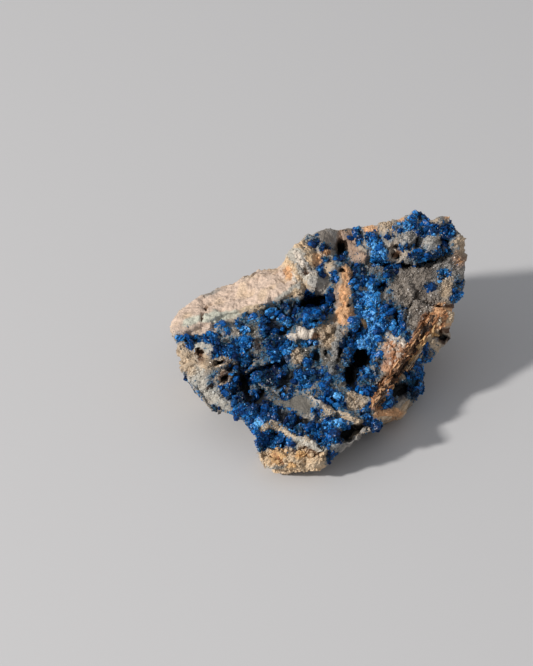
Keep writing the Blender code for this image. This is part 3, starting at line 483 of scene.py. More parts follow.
# Small breaks, deeper than wide: points, half width, depth. Holes: across, up, radius, depth.
FINE_CRACKS = (
    (((-10.4, -22.2), (-7.6, -23.0), (-4.6, -22.0), (-1.6, -22.8), (0.8, -22.2)), 0.22, 0.9),
    (((-9.4, -24.4), (-6.4, -23.8), (-3.6, -24.6)), 0.2, 0.7),
    (((-23.0, 8.6), (-22.4, 6.6), (-23.4, 4.6)), 0.2, 0.5),
    (((-13.2, -21.8), (-9.0, -20.9), (-5.6, -21.7), (-2.4, -20.6)), 0.25, 0.8),
    (((24.0, 6.0), (24.6, 3.4), (24.0, 0.4)), 0.2, 0.7),
    (((14.2, 0.6), (15.6, -2.0), (14.8, -5.0)), 0.18, 0.5),
    (((19.9, 10.6), (19.2, 8.6), (17.8, 6.6), (17.2, 4.2)), 0.28, 1.1),
    (((20.0, 9.4), (21.6, 8.0), (23.6, 7.6)), 0.22, 0.9),
)
FINE_HOLES = (
    (4.9, 14.8, 0.5, 2.2), (6.2, 7.4, 0.3, 1.2), (-2.2, 14.6, 0.45, 1.2), (24.2, 5.2, 0.4, 1.0),
    (-9.4, -18.9, 0.7, 1.8), (-7.2, -19.9, 0.7, 1.8), (14.7, 18.0, 0.6, 1.5),
    (15.8, 17.4, 0.5, 1.5), (-22.6, 7.2, 0.3, 0.6), (-21.2, 7.8, 0.3, 0.6), (-23.2, 5.0, 0.3, 0.6),
    (4.4, 2.4, 0.4, 1.0),
)

# Ovals of the display face by their surface. The druse is knobbly with quartz points, the rind is
# worn soft and fibrous, and the crumbly stone has crumbs lying on it.
DRUSE = (
    (20.5, 12.5, 7.6, 3.6, 5), (19.5, 7.5, 6.4, 4.0, -20), (17.5, 4.5, 4.0, 3.0, 0),
    (26.0, 14.0, 3.0, 4.6, 0), (18.2, 20.8, 2.2, 2.0, 0), (23.0, 19.6, 1.8, 2.6, 0),
    (19.4, 16.6, 3.0, 1.4, 0), (-9.2, 4.4, 5.0, 3.2, 0), (-2.0, 6.2, 3.6, 1.8, 0),
    (11.4, 14.6, 2.2, 1.8, 0), (7.4, -11.6, 2.2, 1.7, -30), (2.6, -1.0, 3.2, 4.4, 0),
    (-12.0, 1.6, 4.4, 3.4, 0), (-3.6, -2.4, 2.6, 2.0, 0), (17.0, -8.0, 4.4, 3.4, 30),
    (-19.4, -5.2, 2.2, 2.8, 0), (2.0, -15.8, 2.4, 1.0, -20),
)
GRANULAR = (
    (5.2, 9.8, 2.0, 6.0, 0), (15.4, -2.0, 2.8, 2.4, 0), (-3.0, 16.5, 4.2, 4.2, 0),
    (-5.0, -23.0, 8.0, 3.4, 0), (13.4, -14.2, 3.0, 1.6, 10), (-0.4, 1.2, 3.4, 1.6, 0),
)
RIND = ((-24.5, 5.4, 5.0, 3.0, 30), (-17.0, 8.8, 6.6, 3.4, 28), (-10.0, 11.8, 6.4, 3.6, 30))
SMOOTH = ((-5.2, -12.2, 4.4, 2.2, -8), (1.6, 20.8, 2.6, 2.2, 0), (6.8, 19.6, 1.6, 3.2, 20))
SPOTTED = ((15.4, -2.2, 2.6, 3.0, 0),)
CRUMBLY = (
    (-6.0, -23.6, 7.0, 3.0, 0), (-3.4, 15.6, 4.0, 4.4, 0), (-23.4, -7.0, 4.0, 5.6, 40),
    (13.6, -14.4, 3.2, 1.6, 10), (15.4, -2.0, 2.6, 3.0, 0), (-1.0, -20.6, 2.6, 0.9, -25),
    (13.8, 23.0, 1.8, 1.3, 0), (28.4, 20.6, 1.4, 3.0, 0), (24.2, 24.4, 1.6, 1.3, 0),
)
LAYERED = ((21.4, 2.0, 3.4, 1.3, 58), (18.0, -3.2, 4.4, 1.5, 55), (13.4, -9.2, 4.2, 1.2, 58))

# Small rounded knobs: across, up, radius, height.
KNOBS = (
    (5.6, 21.2, 1.2, 0.6), (6.8, 19.2, 1.0, 0.6), (8.5, 17.2, 1.3, 0.8), (18.2, 20.6, 1.8, 0.8),
    (22.6, 19.3, 1.9, 0.9), (13.4, 23.0, 1.4, 0.7), (-4.0, 1.6, 1.9, 0.7), (-1.4, 1.4, 1.5, 0.8),
    (4.6, 2.2, 1.4, 0.7), (15.2, 17.7, 2.0, 0.6), (3.0, 14.6, 1.2, 0.7), (-1.0, 12.6, 1.6, 0.7),
    (25.0, 5.2, 2.2, 1.0), (24.2, 24.2, 1.3, 0.6), (10.6, -15.2, 1.6, 0.6),
)


def smooth_step(low, high, value):
    """0 below low, 1 above high, and a cubic ease between."""
    t = np.clip((value - low) / (high - low), 0.0, 1.0)
    return t * t * (3.0 - 2.0 * t)


def lattice_noise(points, wavelength, seed):
    """Smooth noise from -1 to 1: random numbers at the corners of a cubic lattice, eased between."""
    corner_values = np.random.default_rng(seed).uniform(-1.0, 1.0, (NOISE_CELLS,) * 3)
    scaled = points / wavelength
    base = np.floor(scaled).astype(int)
    t = scaled - base
    t = t * t * (3.0 - 2.0 * t)
    total = np.zeros(len(points))
    for corner in np.ndindex(2, 2, 2):
        weight = np.prod(np.where(np.array(corner) == 1, t, 1.0 - t), axis=1)
        i, j, k = ((base + corner) % NOISE_CELLS).T
        total += weight * corner_values[i, j, k]
    return total


def rough_noise(points, wavelength, octaves, seed):
    """Lattice noise summed over octaves, each half the wavelength and half the height of the last."""
    return sum(
        lattice_noise(points, wavelength / 2**n, seed + n) / 2**n for n in range(octaves)
    )


def unit(vectors):
    """Vectors brought to length one."""
    return vectors / np.linalg.norm(vectors, axis=-1, keepdims=True)


def look(azimuth, elevation):
    """The unit vector that looks that many degrees round from +X and above the horizon."""
    a, e = math.radians(azimuth), math.radians(elevation)
    return np.array((math.cos(e) * math.cos(a), math.cos(e) * math.sin(a), math.sin(e)))


def stretched(directions):
    """Unit directions from the heart, drawn out along the display face as CORE_RADII are."""
    up_face = np.array((0.0, math.cos(DISPLAY_LEAN), math.sin(DISPLAY_LEAN)))
    off_face = np.array((0.0, -math.sin(DISPLAY_LEAN), math.cos(DISPLAY_LEAN)))
    axes = np.array((ACROSS, up_face, off_face))
    return unit((directions @ axes.T * np.array(CORE_RADII)) @ axes)


def block_surface(directions, faces):
    """Distance from the heart to a block with rounded edges, and the surface's normal there.

    One over the distance is the p-norm, over the faces, of (normal . direction) / (depth of the face).
    """
    heart = np.array(HEART)
    normals = np.array([look(a, e) for _, a, e in faces.values()])
    depths = np.array([n @ (np.array(p) - heart) for n, (p, _, _) in zip(normals, faces.values())])
    shares = np.maximum(directions @ normals.T, 0.0) / depths
    total = (shares**EDGE_SHARPNESS).sum(axis=1)
    gradient = (shares ** (EDGE_SHARPNESS - 1.0) / depths) @ normals
    return total ** (-1.0 / EDGE_SHARPNESS), unit(gradient)


def seen_from_display(points):
    """(across, up, out) of each point, in perspective from the display viewpoint."""
    offset = points - np.array(DISPLAY_CENTRE)
    out = offset @ OUT
    scale = VIEW_DISTANCE / (VIEW_DISTANCE - out)
    across = VIEW_AXIS[0] + (offset @ ACROSS - VIEW_AXIS[0]) * scale
    up = VIEW_AXIS[1] + (offset @ UP - VIEW_AXIS[1]) * scale
    return across, up, out


def placed_from_display(across, up, out):
    """The points that show at (across, up) from the display viewpoint, at that distance out."""
    scale = (VIEW_DISTANCE - out) / VIEW_DISTANCE
    sideways = VIEW_AXIS[0] + (across - VIEW_AXIS[0]) * scale
    upwards = VIEW_AXIS[1] + (up - VIEW_AXIS[1]) * scale
    shift = sideways[:, None] * ACROSS + upwards[:, None] * UP + out[:, None] * OUT
    return np.array(DISPLAY_CENTRE) + shift


def fit_outline(points):
    """Stretches the rock sideways, as seen from the display viewpoint, until its rim meets OUTLINE."""
    across, up, out = seen_from_display(points)
    angle, reach = np.arctan2(up, across), np.hypot(across, up)
    corners = np.array(OUTLINE)
    corner_angle = np.arctan2(corners[:, 1], corners[:, 0])
    order = np.argsort(corner_angle)
    wanted = np.interp(
        angle, corner_angle[order], np.hypot(*corners.T)[order], period=2.0 * math.pi
    )
    turn = (angle + math.pi) / (2.0 * math.pi)
    rim = np.zeros(OUTLINE_SECTORS)
    np.maximum.at(rim, (turn * OUTLINE_SECTORS).astype(int) % OUTLINE_SECTORS, reach / wanted)
    middle = (np.arange(OUTLINE_SECTORS) + 0.5) / OUTLINE_SECTORS * 2.0 * math.pi - math.pi
    share = np.interp(angle, middle, rim, period=2.0 * math.pi)
    near_rim = smooth_step(0.35, 0.95, reach / wanted / share)
    scale = 1.0 + (1.0 / share - 1.0) * near_rim
    return placed_from_display(across * scale, up * scale, out)


def oval_share(across, up, oval):
    """0 at the middle of a turned oval, 1 on its edge and more outside."""
    centre_across, centre_up, half_length, half_width, turn = oval
    a, u = across - centre_across, up - centre_up
    cosine, sine = math.cos(math.radians(turn)), math.sin(math.radians(turn))
    return np.hypot((a * cosine + u * sine) / half_length, (u * cosine - a * sine) / half_width)


def disc_share(across, up, disc):
    """0 at the middle of a disc, 1 on its edge and more outside."""
    centre_across, centre_up, radius = disc
    return np.hypot(across - centre_across, up - centre_up) / radius


def dome(across, up, disc):
    """Height of half a ball that stands on a disc: 1 at its middle, 0 on its edge and outside."""
    share = disc_share(across, up, disc)
    return np.sqrt(np.clip(1.0 - share * share, 0.0, 1.0))


def line_distance(across, up, points):
    """Distance, as seen from the display viewpoint, to the nearest point of a line of points."""
    nearest = np.full(len(across), np.inf)
    for (a0, u0), (a1, u1) in zip(points, points[1:]):
        da, du = a1 - a0, u1 - u0
        along = ((across - a0) * da + (up - u0) * du) / (da * da + du * du)
        along = np.clip(along, 0.0, 1.0)
        nearest = np.minimum(nearest, np.hypot(across - a0 - along * da, up - u0 - along * du))
    return nearest


def relief(across, up, points):
    """Height of the display face's features above its broken plane, towards the viewpoint."""
    wobble_across = across + 0.5 * lattice_noise(points, 1.9, 31)
    wobble_up = up + 0.5 * lattice_noise(points, 1.9, 32)
    height = np.zeros(len(points))
    for *disc, rise in LUMPS.values():
        height += rise * dome(wobble_across, wobble_up, disc)
    for line, half_width, rise in LINES.values():
        share = line_distance(wobble_across, wobble_up, line) / half_width
        height += rise * (1.0 - smooth_step(0.5, 1.3, share))
    for *oval, depth in VUGS.values():
        share = oval_share(wobble_across, wobble_up, oval)
        height -= depth * (1.0 - smooth_step(0.65, 1.2, share))
    return height


def rest_on_floor(points):
    """Draws what is below z = 0 back towards the heart until it lies on the floor."""
    heart = np.array(HEART)
    fall = np.maximum(heart[2] - points[:, 2], 1e-6)
    share = np.where(points[:, 2] < 0.0, heart[2] / fall, 1.0)
    rested = heart + (points - heart) * share[:, None]
    rested[:, 2] = np.maximum(rested[:, 2], 0.0)
    return rested


def rock_surface(sphere):
    """The rock's surface for points of a unit sphere: two joined blocks, swollen and broken unevenly,
    fitted to the outline, with the display face's features."""
    directions = stretched(sphere)
    main, main_normal = block_surface(directions, MAIN_BLOCK)
    left, left_normal = block_surface(directions, LEFT_BLOCK)
    main_share, left_share = main**JOIN_SHARPNESS, left**JOIN_SHARPNESS
    reach = (main_share + left_share) ** (1.0 / JOIN_SHARPNESS)
    normal = unit(main_share[:, None] * main_normal + left_share[:, None] * left_normal)
    points = np.array(HEART) + directions * reach[:, None]
    shown = smooth_step(-0.2, 0.5, normal @ OUT)
    swell = 1.5 * lattice_noise(points, 13.0, 11)
    swell += (0.25 + 0.55 * shown) * rough_noise(points, 5.5, 2, 21)
    points = fit_outline(fit_outline(points + normal * swell[:, None]))
    across, up, _ = seen_from_display(points)
    facing = smooth_step(0.1, 0.5, normal @ OUT)
    height = relief(across, up, points)
    return rest_on_floor(points + OUT * (facing * height)[:, None])


def cells_near(points, size, seed):
    """The nearest of many cell middles, one at random in each cube of the given size: the distance to
    it, how much further the second nearest is, a random number of the cell's own, and the height there
    of a facet through the cell's middle, tilted at random. Lengths are shares of size."""
    chance = np.random.default_rng(seed)
    middles = chance.uniform(0.05, 0.95, (NOISE_CELLS,) * 3 + (3,))
    numbers = chance.random((NOISE_CELLS,) * 3)
    slopes = chance.uniform(-0.6, 0.6, (NOISE_CELLS,) * 3 + (3,))
    scaled = points / size
    base = np.floor(scaled).astype(int)
    first = np.full(len(points), np.inf)
    second = first.copy()
    nearest = np.zeros((len(points), 3), int)
    for step in np.ndindex(3, 3, 3):
        cell = base + np.array(step) - 1
        i, j, k = (cell % NOISE_CELLS).T
        gap = np.linalg.norm(cell + middles[i, j, k] - scaled, axis=1)
        second = np.minimum(second, np.maximum(first, gap))
        nearest = np.where((gap < first)[:, None], cell, nearest)
        first = np.minimum(first, gap)
    i, j, k = (nearest % NOISE_CELLS).T
    facet = np.sum((scaled - nearest - middles[i, j, k]) * slopes[i, j, k], axis=1)
    return first, second - first, numbers[i, j, k], facet


def folded_square():
    """Points of a unit sphere and the quads that join them, from a square grid folded edge to edge.

    At grid place (u, v), r = 1 - |1 - |u| - |v||, the height is 1 - r * r, with the sign of
    1 - |u| - |v|, and the turn goes evenly from |u| to |v|, so every quad has the same area. Grid
    places that the fold brings together are one point.
    """
    steps = ROCK_STEPS
    count = steps + 1
    row, column = np.meshgrid(np.arange(count), np.arange(count), indexing="ij")
    u, v = 2.0 * row / steps - 1.0, 2.0 * column / steps - 1.0
    inner = 1.0 - np.abs(u) - np.abs(v)
    r = 1.0 - np.abs(inner)
    share = (np.abs(v) - np.abs(u)) / np.where(r == 0.0, 1.0, r)
    turn = math.pi / 4.0 * (share + 1.0)
    flat = r * np.sqrt(2.0 - r * r)
    side_u, side_v = np.where(u < 0.0, -1.0, 1.0), np.where(v < 0.0, -1.0, 1.0)
    height = np.sign(inner) * (1.0 - r * r)
    points = np.stack((side_u * np.cos(turn) * flat, side_v * np.sin(turn) * flat, height), axis=-1)
    on_row_edge = (row == 0) | (row == steps)
    on_column_edge = (column == 0) | (column == steps)
    same_column = np.where(on_row_edge, np.maximum(column, steps - column), column)
    same_row = np.where(on_column_edge, np.maximum(row, steps - row), row)
    same_row = np.where(on_row_edge & on_column_edge, steps, same_row)
    same_column = np.where(on_row_edge & on_column_edge, steps, same_column)
    kept, joined = np.unique(same_row * count + same_column, return_inverse=True)
    joined = joined.reshape(count, count)
    quads = np.stack((joined[:-1, :-1], joined[1:, :-1], joined[1:, 1:], joined[:-1, 1:]), axis=-1)
    return points.reshape(-1, 3)[kept], quads.reshape(-1, 4)


def crowded(points):
    """Sphere points turned so that the square's middle looks from the display, and drawn towards it.

    Each point becomes the direction of point + CROWDING * (the way the square's middle looks).
    """
    middle = unit(OUT + np.array((0.0, 0.0, 0.45)))
    frame_of_square = np.array((ACROSS, np.cross(middle, ACROSS), middle))
    return unit(points @ frame_of_square + CROWDING * middle)


def area_normals(points, quads):
    """Each quad's normal, twice its area long: the cross product of its diagonals."""
    corners = points[quads]
    return np.cross(corners[:, 2] - corners[:, 0], corners[:, 3] - corners[:, 1])


def by_face(values, quads):
    """The mean of the values at each quad's corners."""
    return values[quads].mean(axis=1)


def corner_normals(points, quads):
    """Unit normals at the points: the sum of the normals of the quads that meet there."""
    shares = np.repeat(area_normals(points, quads), 4, axis=0)
    place = quads.ravel()
    total = np.stack([np.bincount(place, shares[:, i], len(points)) for i in range(3)], axis=1)
    return total / np.maximum(np.linalg.norm(total, axis=1, keepdims=True), 1e-12)


def wobbled(across, up, points, reach, seed):
    """(across, up) pushed about by up to reach, so that drawn shapes get ragged edges."""
    return (
        across + reach * rough_noise(points, 1.6, 2, seed),
        up + reach * rough_noise(points, 1.6, 2, seed + 7),
    )


def covered(across, up, ovals, soft):
    """1 inside any of the ovals, easing to 0 over that share of their size."""
    share = np.min([oval_share(across, up, oval) for oval in ovals], axis=0)
    return 1.0 - smooth_step(1.0 - soft, 1.0 + soft, share)


def side_layers(across, up, points):
    """How far a point lies across the layers of the layered side, in layers, and where they show."""
    a, u = wobbled(across, up, points, 0.3, 43)
    way = unit(np.array(LAYER_WAY))
    crosswise = (a - 12.0) * way[1] - (u + 10.0) * way[0]
    shows = covered(a, u, LAYERED, 0.25)
    return crosswise / LAYER_THICKNESS + 0.5 * lattice_noise(points, 3.0, 44), shows


def hollow_share(across, up, points):
    """1 in the dark hollows, and how much deeper they are than the vugs."""
    a, u = wobbled(across, up, points, 0.22, 45)
    share, deeper = np.zeros(len(points)), np.zeros(len(points))
    for *oval, depth in DARK_HOLLOWS:
        inside = 1.0 - smooth_step(0.8, 1.15, oval_share(a, u, oval))
        share, deeper = np.maximum(share, inside), np.maximum(deeper, inside * depth)
    return share, deeper


def clump_gaps(points, blue):
    """1 in the narrow gaps between clumps of crystals: where two cell middles are about as near."""
    _, edge, _, _ = cells_near(points, 2.7, 46)
    open_gap = smooth_step(-0.15, 0.35, lattice_noise(points, 3.2, 47))
    return (1.0 - smooth_step(0.08, 0.32, edge)) * open_gap * blue


def fine_relief(across, up, points, facing, blue):
    """Height off the rock's surface of its small forms: an even roughness, round cells for hummocks,
    knobs, granules and rind, tilted cells for broken facets, then layers, knobs, cracks and holes."""
    a, u = wobbled(across, up, points, 0.35, 41)
    knobbly = covered(a, u, DRUSE, 0.3) * facing
    granular = covered(a, u, GRANULAR, 0.3) * facing
    fibrous = covered(a, u, RIND, 0.25) * facing
    plain = 1.0 - np.clip(0.8 * knobbly + 0.6 * granular + fibrous, 0.0, 1.0)
    plain *= 1.0 - 0.8 * covered(a, u, SMOOTH, 0.3) * facing
    height = (0.10 + 0.10 * plain) * rough_noise(points, 2.0, 3, 51)
    # Size of the cells in millimetres, height of their form, seed, and where they are.
    for size, rise, seed, where in (
        (1.9, 0.6, 61, blue), (0.9, 0.25, 62, blue), (1.6, 0.8, 63, knobbly),
        (0.7, 0.14, 64, knobbly), (0.8, 0.2, 65, granular), (1.3, 0.34, 67, fibrous),
        (0.6, 0.3, 68, fibrous),
    ):
        first, _, number, _ = cells_near(points, size, seed)
        height += where * rise * (0.6 + 0.8 * number) * (0.55 - smooth_step(0.1, 0.95, first))
    for size, rise, seed, where in (
        (4.2, 1.5, 72, plain), (1.8, 0.6, 73, plain + 0.6 * granular), (0.9, 0.22, 74, plain + granular),
        (3.2, 1.2, 75, knobbly), (1.4, 0.5, 76, knobbly),
    ):
        _, _, _, facet = cells_near(points, size, seed)
        height += where * rise * facet
    streaks = lattice_noise(points * np.array((0.5, 1.4, 1.6)), 0.7, 71)
    height += fibrous * 0.09 * streaks
    layer, layered = side_layers(across, up, points)
    height += facing * layered * 0.6 * (smooth_step(0.0, 0.3, layer % 1.0) - layer % 1.0)
    for *disc, rise in KNOBS:
        height += facing * rise * dome(a, u, disc)
    for line, half_width, depth in FINE_CRACKS:
        share = line_distance(a, u, line) / half_width
        height -= facing * depth * (1.0 - smooth_step(0.4, 1.5, share))
    for *disc, depth in FINE_HOLES:
        height -= facing * depth * (1.0 - smooth_step(0.6, 1.2, disc_share(a, u, disc)))
    return height


def daylight(tone):
    """Linear red, green and blue for one of TONES."""
    value = np.array(TONES[tone]) / 255.0
    return np.where(value <= 0.04045, value / 12.92, ((value + 0.055) / 1.055) ** 2.4)


def laid(colours, tone, share):
    """Colours with a tone laid over them, by share."""
    return colours + (daylight(tone) - colours) * share[:, None]


def druse_crevice_shade(across, up, points):
    """1 in the narrow gaps between the druse's knobs, where they stand apart: where umber is laid as
    painted shade.
    """
    _, edge, _, _ = cells_near(points, 1.6, 63)
    crevice = (1.0 - smooth_step(0.04, 0.3, edge)) * covered(across, up, DRUSE, 0.3)
    return crevice * smooth_step(-0.3, 0.3, lattice_noise(points, 3.4, 88))


def painted_stone(across, up, points, facing):
    """Each point's colour without its blue, and 1 where the ground is bare of crystals: tan and grey
    rock, then the display face's grounds, bands and layers over it, in chips of uneven brightness."""
    drift = 0.5 + 0.5 * lattice_noise(points, 7.0, 81)
    colours = daylight("tan") * drift[:, None] + daylight("grey") * (1.0 - drift[:, None])
    colours = laid(colours, "ochre", 0.7 * smooth_step(0.25, 0.7, lattice_noise(points, 4.5, 82)))
    a, u = wobbled(across, up, points, 0.35, 83)
    bare = np.zeros(len(points))
    for tone, ovals in GROUNDS:
        share = covered(a, u, ovals, 0.18) * facing
        colours = laid(colours, tone, share)
        if tone in BARE_TONES:
            bare = np.maximum(bare, share)
    for tone, line, half_width in BANDS:
        share = (1.0 - smooth_step(0.75, 1.2, line_distance(a, u, line) / half_width)) * facing
        colours = laid(colours, tone, share)
        bare = np.maximum(bare, share)
    layer, layered = side_layers(across, up, points)
    step_edge = smooth_step(0.82, 1.0, layer % 1.0) + 1.0 - smooth_step(0.0, 0.12, layer % 1.0)
    for turn, tone in enumerate(("limonite", "brown", "tan")):
        colours = laid(colours, tone, 0.4 * (np.floor(layer) % 3 == turn) * layered * facing)
    colours = laid(colours, "umber", 0.75 * np.minimum(step_edge, 1.0) * layered * facing)
    _, _, chip, _ = cells_near(points, 1.3, 84)
    _, _, grain, _ = cells_near(points, 0.55, 86)
    calm = 1.0 - 0.4 * covered(a, u, RIND + SMOOTH, 0.3) * facing
    tinged = 0.5 * smooth_step(0.0, 0.6, lattice_noise(points, 2.2, 87)) * covered(a, u, RIND, 0.3)
    colours = laid(colours, "ochre", tinged * facing)
    spotted = covered(a, u, SPOTTED, 0.3) * facing
    colours = laid(colours, "rust", 0.55 * spotted * (grain > 0.66))
    colours = laid(colours, "white", 0.6 * spotted * (grain < 0.3))
    # Painted shade: umber in the crevices between the druse's knobs.
    colours = laid(colours, "umber", 0.45 * druse_crevice_shade(a, u, points) * facing * (1.0 - bare))
    speckle = 0.12 * rough_noise(points, 0.9, 3, 85) + 0.2 * (chip - 0.5) + 0.22 * (grain - 0.5)
    return colours * (1.0 + calm * speckle)[:, None], bare


def stained_stone(colours, points, blue, near_blue, gap, dark):
    """The painted stone with teal near the crystals, deep blue under them, darkened to near black as
    painted shade, and black as painted shade in the gaps between their clumps and in the dark hollows."""
    _, _, grain, _ = cells_near(points, 0.55, 86)
    stained = (near_blue * (0.15 + 0.7 * smooth_step(0.45, 0.7, grain)))[:, None]
    colours = colours + (np.array(TEAL_STAIN) - colours) * stained
    # Painted shade: deep blue, near black, on the ground under the crystals.
    colours = colours + (np.array(BLUE_GROUND_AND_SHADE) - colours) * (0.95 * blue)[:, None]
    # Painted shade: black in the gaps between clumps and in the dark hollows.
    return np.clip(laid(colours, "black", np.maximum(dark, 0.9 * gap)), 0.0, 1.0)


def blue_colours(tint, teal):
    """Crystal colours, from near black to bright azure as tint goes from 0 to 1, then towards teal."""
    colours = np.stack([np.interp(tint, BLUE_STOPS, channel) for channel in zip(*BLUES)], axis=1)
    return colours + (np.array(TEAL) - colours) * teal[:, None]


def make_mesh(name, points, faces, material, label, colours, smooth=False):
    """One piece: points in millimetres, faces with equally many corners, a named colour at each point,
    and which faces are smooth."""
    mesh = bpy.data.meshes.new(name)
    mesh.vertices.add(len(points))
    mesh.vertices.foreach_set("co", ((points + np.array(STANDING_SHIFT)) * MM).ravel())
    corners = faces.shape[1]
    mesh.loops.add(faces.size)
    mesh.loops.foreach_set("vertex_index", faces.ravel().astype(np.int32))
    mesh.polygons.add(len(faces))
    mesh.polygons.foreach_set("loop_start", np.arange(0, faces.size, corners, dtype=np.int32))
    mesh.polygons.foreach_set("use_smooth", np.broadcast_to(smooth, len(faces)).copy())
    mesh.update(calc_edges=True)
    layer = mesh.attributes.new(label, "FLOAT_COLOR", "POINT")
    rgba = np.concatenate((colours, np.ones((len(colours), 1))), axis=1)
    layer.data.foreach_set("color", rgba.astype(np.float32).ravel())
    mesh.materials.append(material)
    piece = bpy.data.objects.new(name, mesh)
    bpy.context.scene.collection.objects.link(piece)
    return piece


def cut_form(sides, rings):
    """A crystal's form: a profile of so many corners carried up its axis through rings of (height,
    half width, half depth), with a flat cap at each end. Gives its corners and triangles."""
    turn = (np.arange(sides) + 0.5) * 2.0 * math.pi / sides
    height, width, depth = np.array(rings).T[:, :, None]
    corners = np.stack(
        (width * np.cos(turn), depth * np.sin(turn), np.broadcast_to(height, (len(rings), sides))),
        axis=-1,
    ).reshape(-1, 3)
    ring, corner = np.meshgrid(np.arange(len(rings) - 1), np.arange(sides), indexing="ij")
    here, beside = ring * sides + corner, ring * sides + (corner + 1) % sides
    walls = np.concatenate((
        np.stack((here, beside, beside + sides), axis=-1).reshape(-1, 3),
        np.stack((here, beside + sides, here + sides), axis=-1).reshape(-1, 3),
    ))
    fan = np.arange(1, sides - 1)
    top = (len(rings) - 1) * sides
    floor_cap = np.stack((np.zeros_like(fan), fan + 1, fan), axis=-1)
    top_cap = np.stack((np.full_like(fan, top), top + fan, top + fan + 1), axis=-1)
    return corners, np.concatenate((walls, floor_cap, top_cap))


# The forms that are set in their thousands, for a size of 1
LARGE_CRYSTAL = cut_form(6, ((-0.6, 0.52, 0.34), (0.3, 0.52, 0.34), (0.62, 0.36, 0.06)))
MIDDLE_CRYSTAL = cut_form(4, ((-0.6, 0.7, 0.36), (0.4, 0.7, 0.36), (0.75, 0.45, 0.06)))
SMALL_CRYSTAL = cut_form(4, ((-0.6, 0.55, 0.5), (0.6, 0.3, 0.22)))
PLATE = cut_form(4, ((-1.0, 0.2, 0.06), (-0.3, 0.42, 0.15), (0.4, 0.4, 0.12), (1.0, 0.16, 0.05)))
CRUMB = cut_form(5, ((-0.5, 0.4, 0.45), (0.0, 0.6, 0.55), (0.22, 0.4, 0.34)))
QUARTZ_POINT = cut_form(5, ((-0.6, 0.5, 0.5), (0.25, 0.46, 0.46), (0.75, 0.06, 0.06)))


def scattered(points, faces, weights, count, chance):
    """Places picked at random on the faces, by weight: which face, and where it is on that face."""
    ladder = np.cumsum(weights)
    chosen = np.searchsorted(ladder, chance.random(count) * ladder[-1])
    chosen = np.minimum(chosen, len(faces) - 1)
    s, t = chance.random((2, count, 1))
    a, b, c, d = (points[faces[chosen, i]] for i in range(4))
    return chosen, (a * (1 - s) + b * s) * (1 - t) + (d * (1 - s) + c * s) * t


def single_crystals(singles, rock, chance):
    """Large crystals where SINGLE_CRYSTALS puts them, on the nearest of the points that show there."""
    spots = np.array(singles)
    gap = np.hypot(rock.across[None] - spots[:, :1], rock.up[None] - spots[:, 1:2])
    nearest = np.argmin(gap + 9.0 * (rock.normals @ OUT < 0.2), axis=1)
    places, normals = rock.points[nearest], rock.normals[nearest]
    made, triangles = grown(LARGE_CRYSTAL, places, normals, spots[:, 2], 0.7, chance)
    tint = chance.uniform(0.32, 0.6, len(spots))
    shades = np.repeat(blue_colours(tint, 0.0 * tint), len(LARGE_CRYSTAL[0]), axis=0)
    return made, triangles, shades


def set_forms(form, places, axes, stretch):
    """Copies of a form at the places, each with its own three axes and its own stretch along them."""
    corners, triangles = form
    made = places[:, None] + np.einsum("vk,nk,nkj->nvj", corners, stretch, axes)
    joined = triangles[None] + (np.arange(len(places)) * len(corners))[:, None, None]
    return made.reshape(-1, 3), joined.reshape(-1, 3)


def grown(form, places, normals, sizes, tilt, chance):
    """Copies of a form at the places: each stands along normal + tilt * (a direction), stretched a
    little unevenly and scaled to its size. Directions and spins drift slowly from place to place, with
    some chance in each, so that neighbours stand nearly parallel."""
    count = len(places)
    drift = np.stack([lattice_noise(places, 1.4, seed) for seed in range(301, 307)], axis=1)
    lean = unit(drift[:, :3] + 0.35 * chance.normal(size=(count, 3)))
    spin = unit(drift[:, 3:] + 0.3 * chance.normal(size=(count, 3)))
    stand = unit(normals + tilt * lean)
    beside = unit(np.cross(stand, spin))
    axes = np.stack((beside, np.cross(stand, beside), stand), axis=1)
    return set_forms(form, places, axes, sizes[:, None] * chance.uniform(0.65, 1.35, (count, 3)))


def laid_plates(places, normals, sizes, chance):
    """Thin plates at the places: long the way the side's layers run, thin across them."""
    way = unit(LAYER_WAY[0] * ACROSS + LAYER_WAY[1] * UP)
    along = way - np.sum(normals * way, axis=1, keepdims=True) * normals
    along = unit(unit(along) + 0.16 * chance.normal(size=(len(places), 3)))
    thin = unit(np.cross(along, normals))
    axes = np.stack((np.cross(thin, along), thin, along), axis=1)
    return set_forms(PLATE, places, axes, sizes[:, None] * chance.uniform(0.7, 1.3, (len(places), 3)))


def joined_parts(parts):
    """Several (points, triangles, colours) parts as one."""
    offsets = np.cumsum([0] + [len(points) for points, _, _ in parts[:-1]])
    return (
        np.concatenate([points for points, _, _ in parts]),
        np.concatenate([triangles + offset for (_, triangles, _), offset in zip(parts, offsets)]),
        np.concatenate([colours for _, _, colours in parts]),
    )


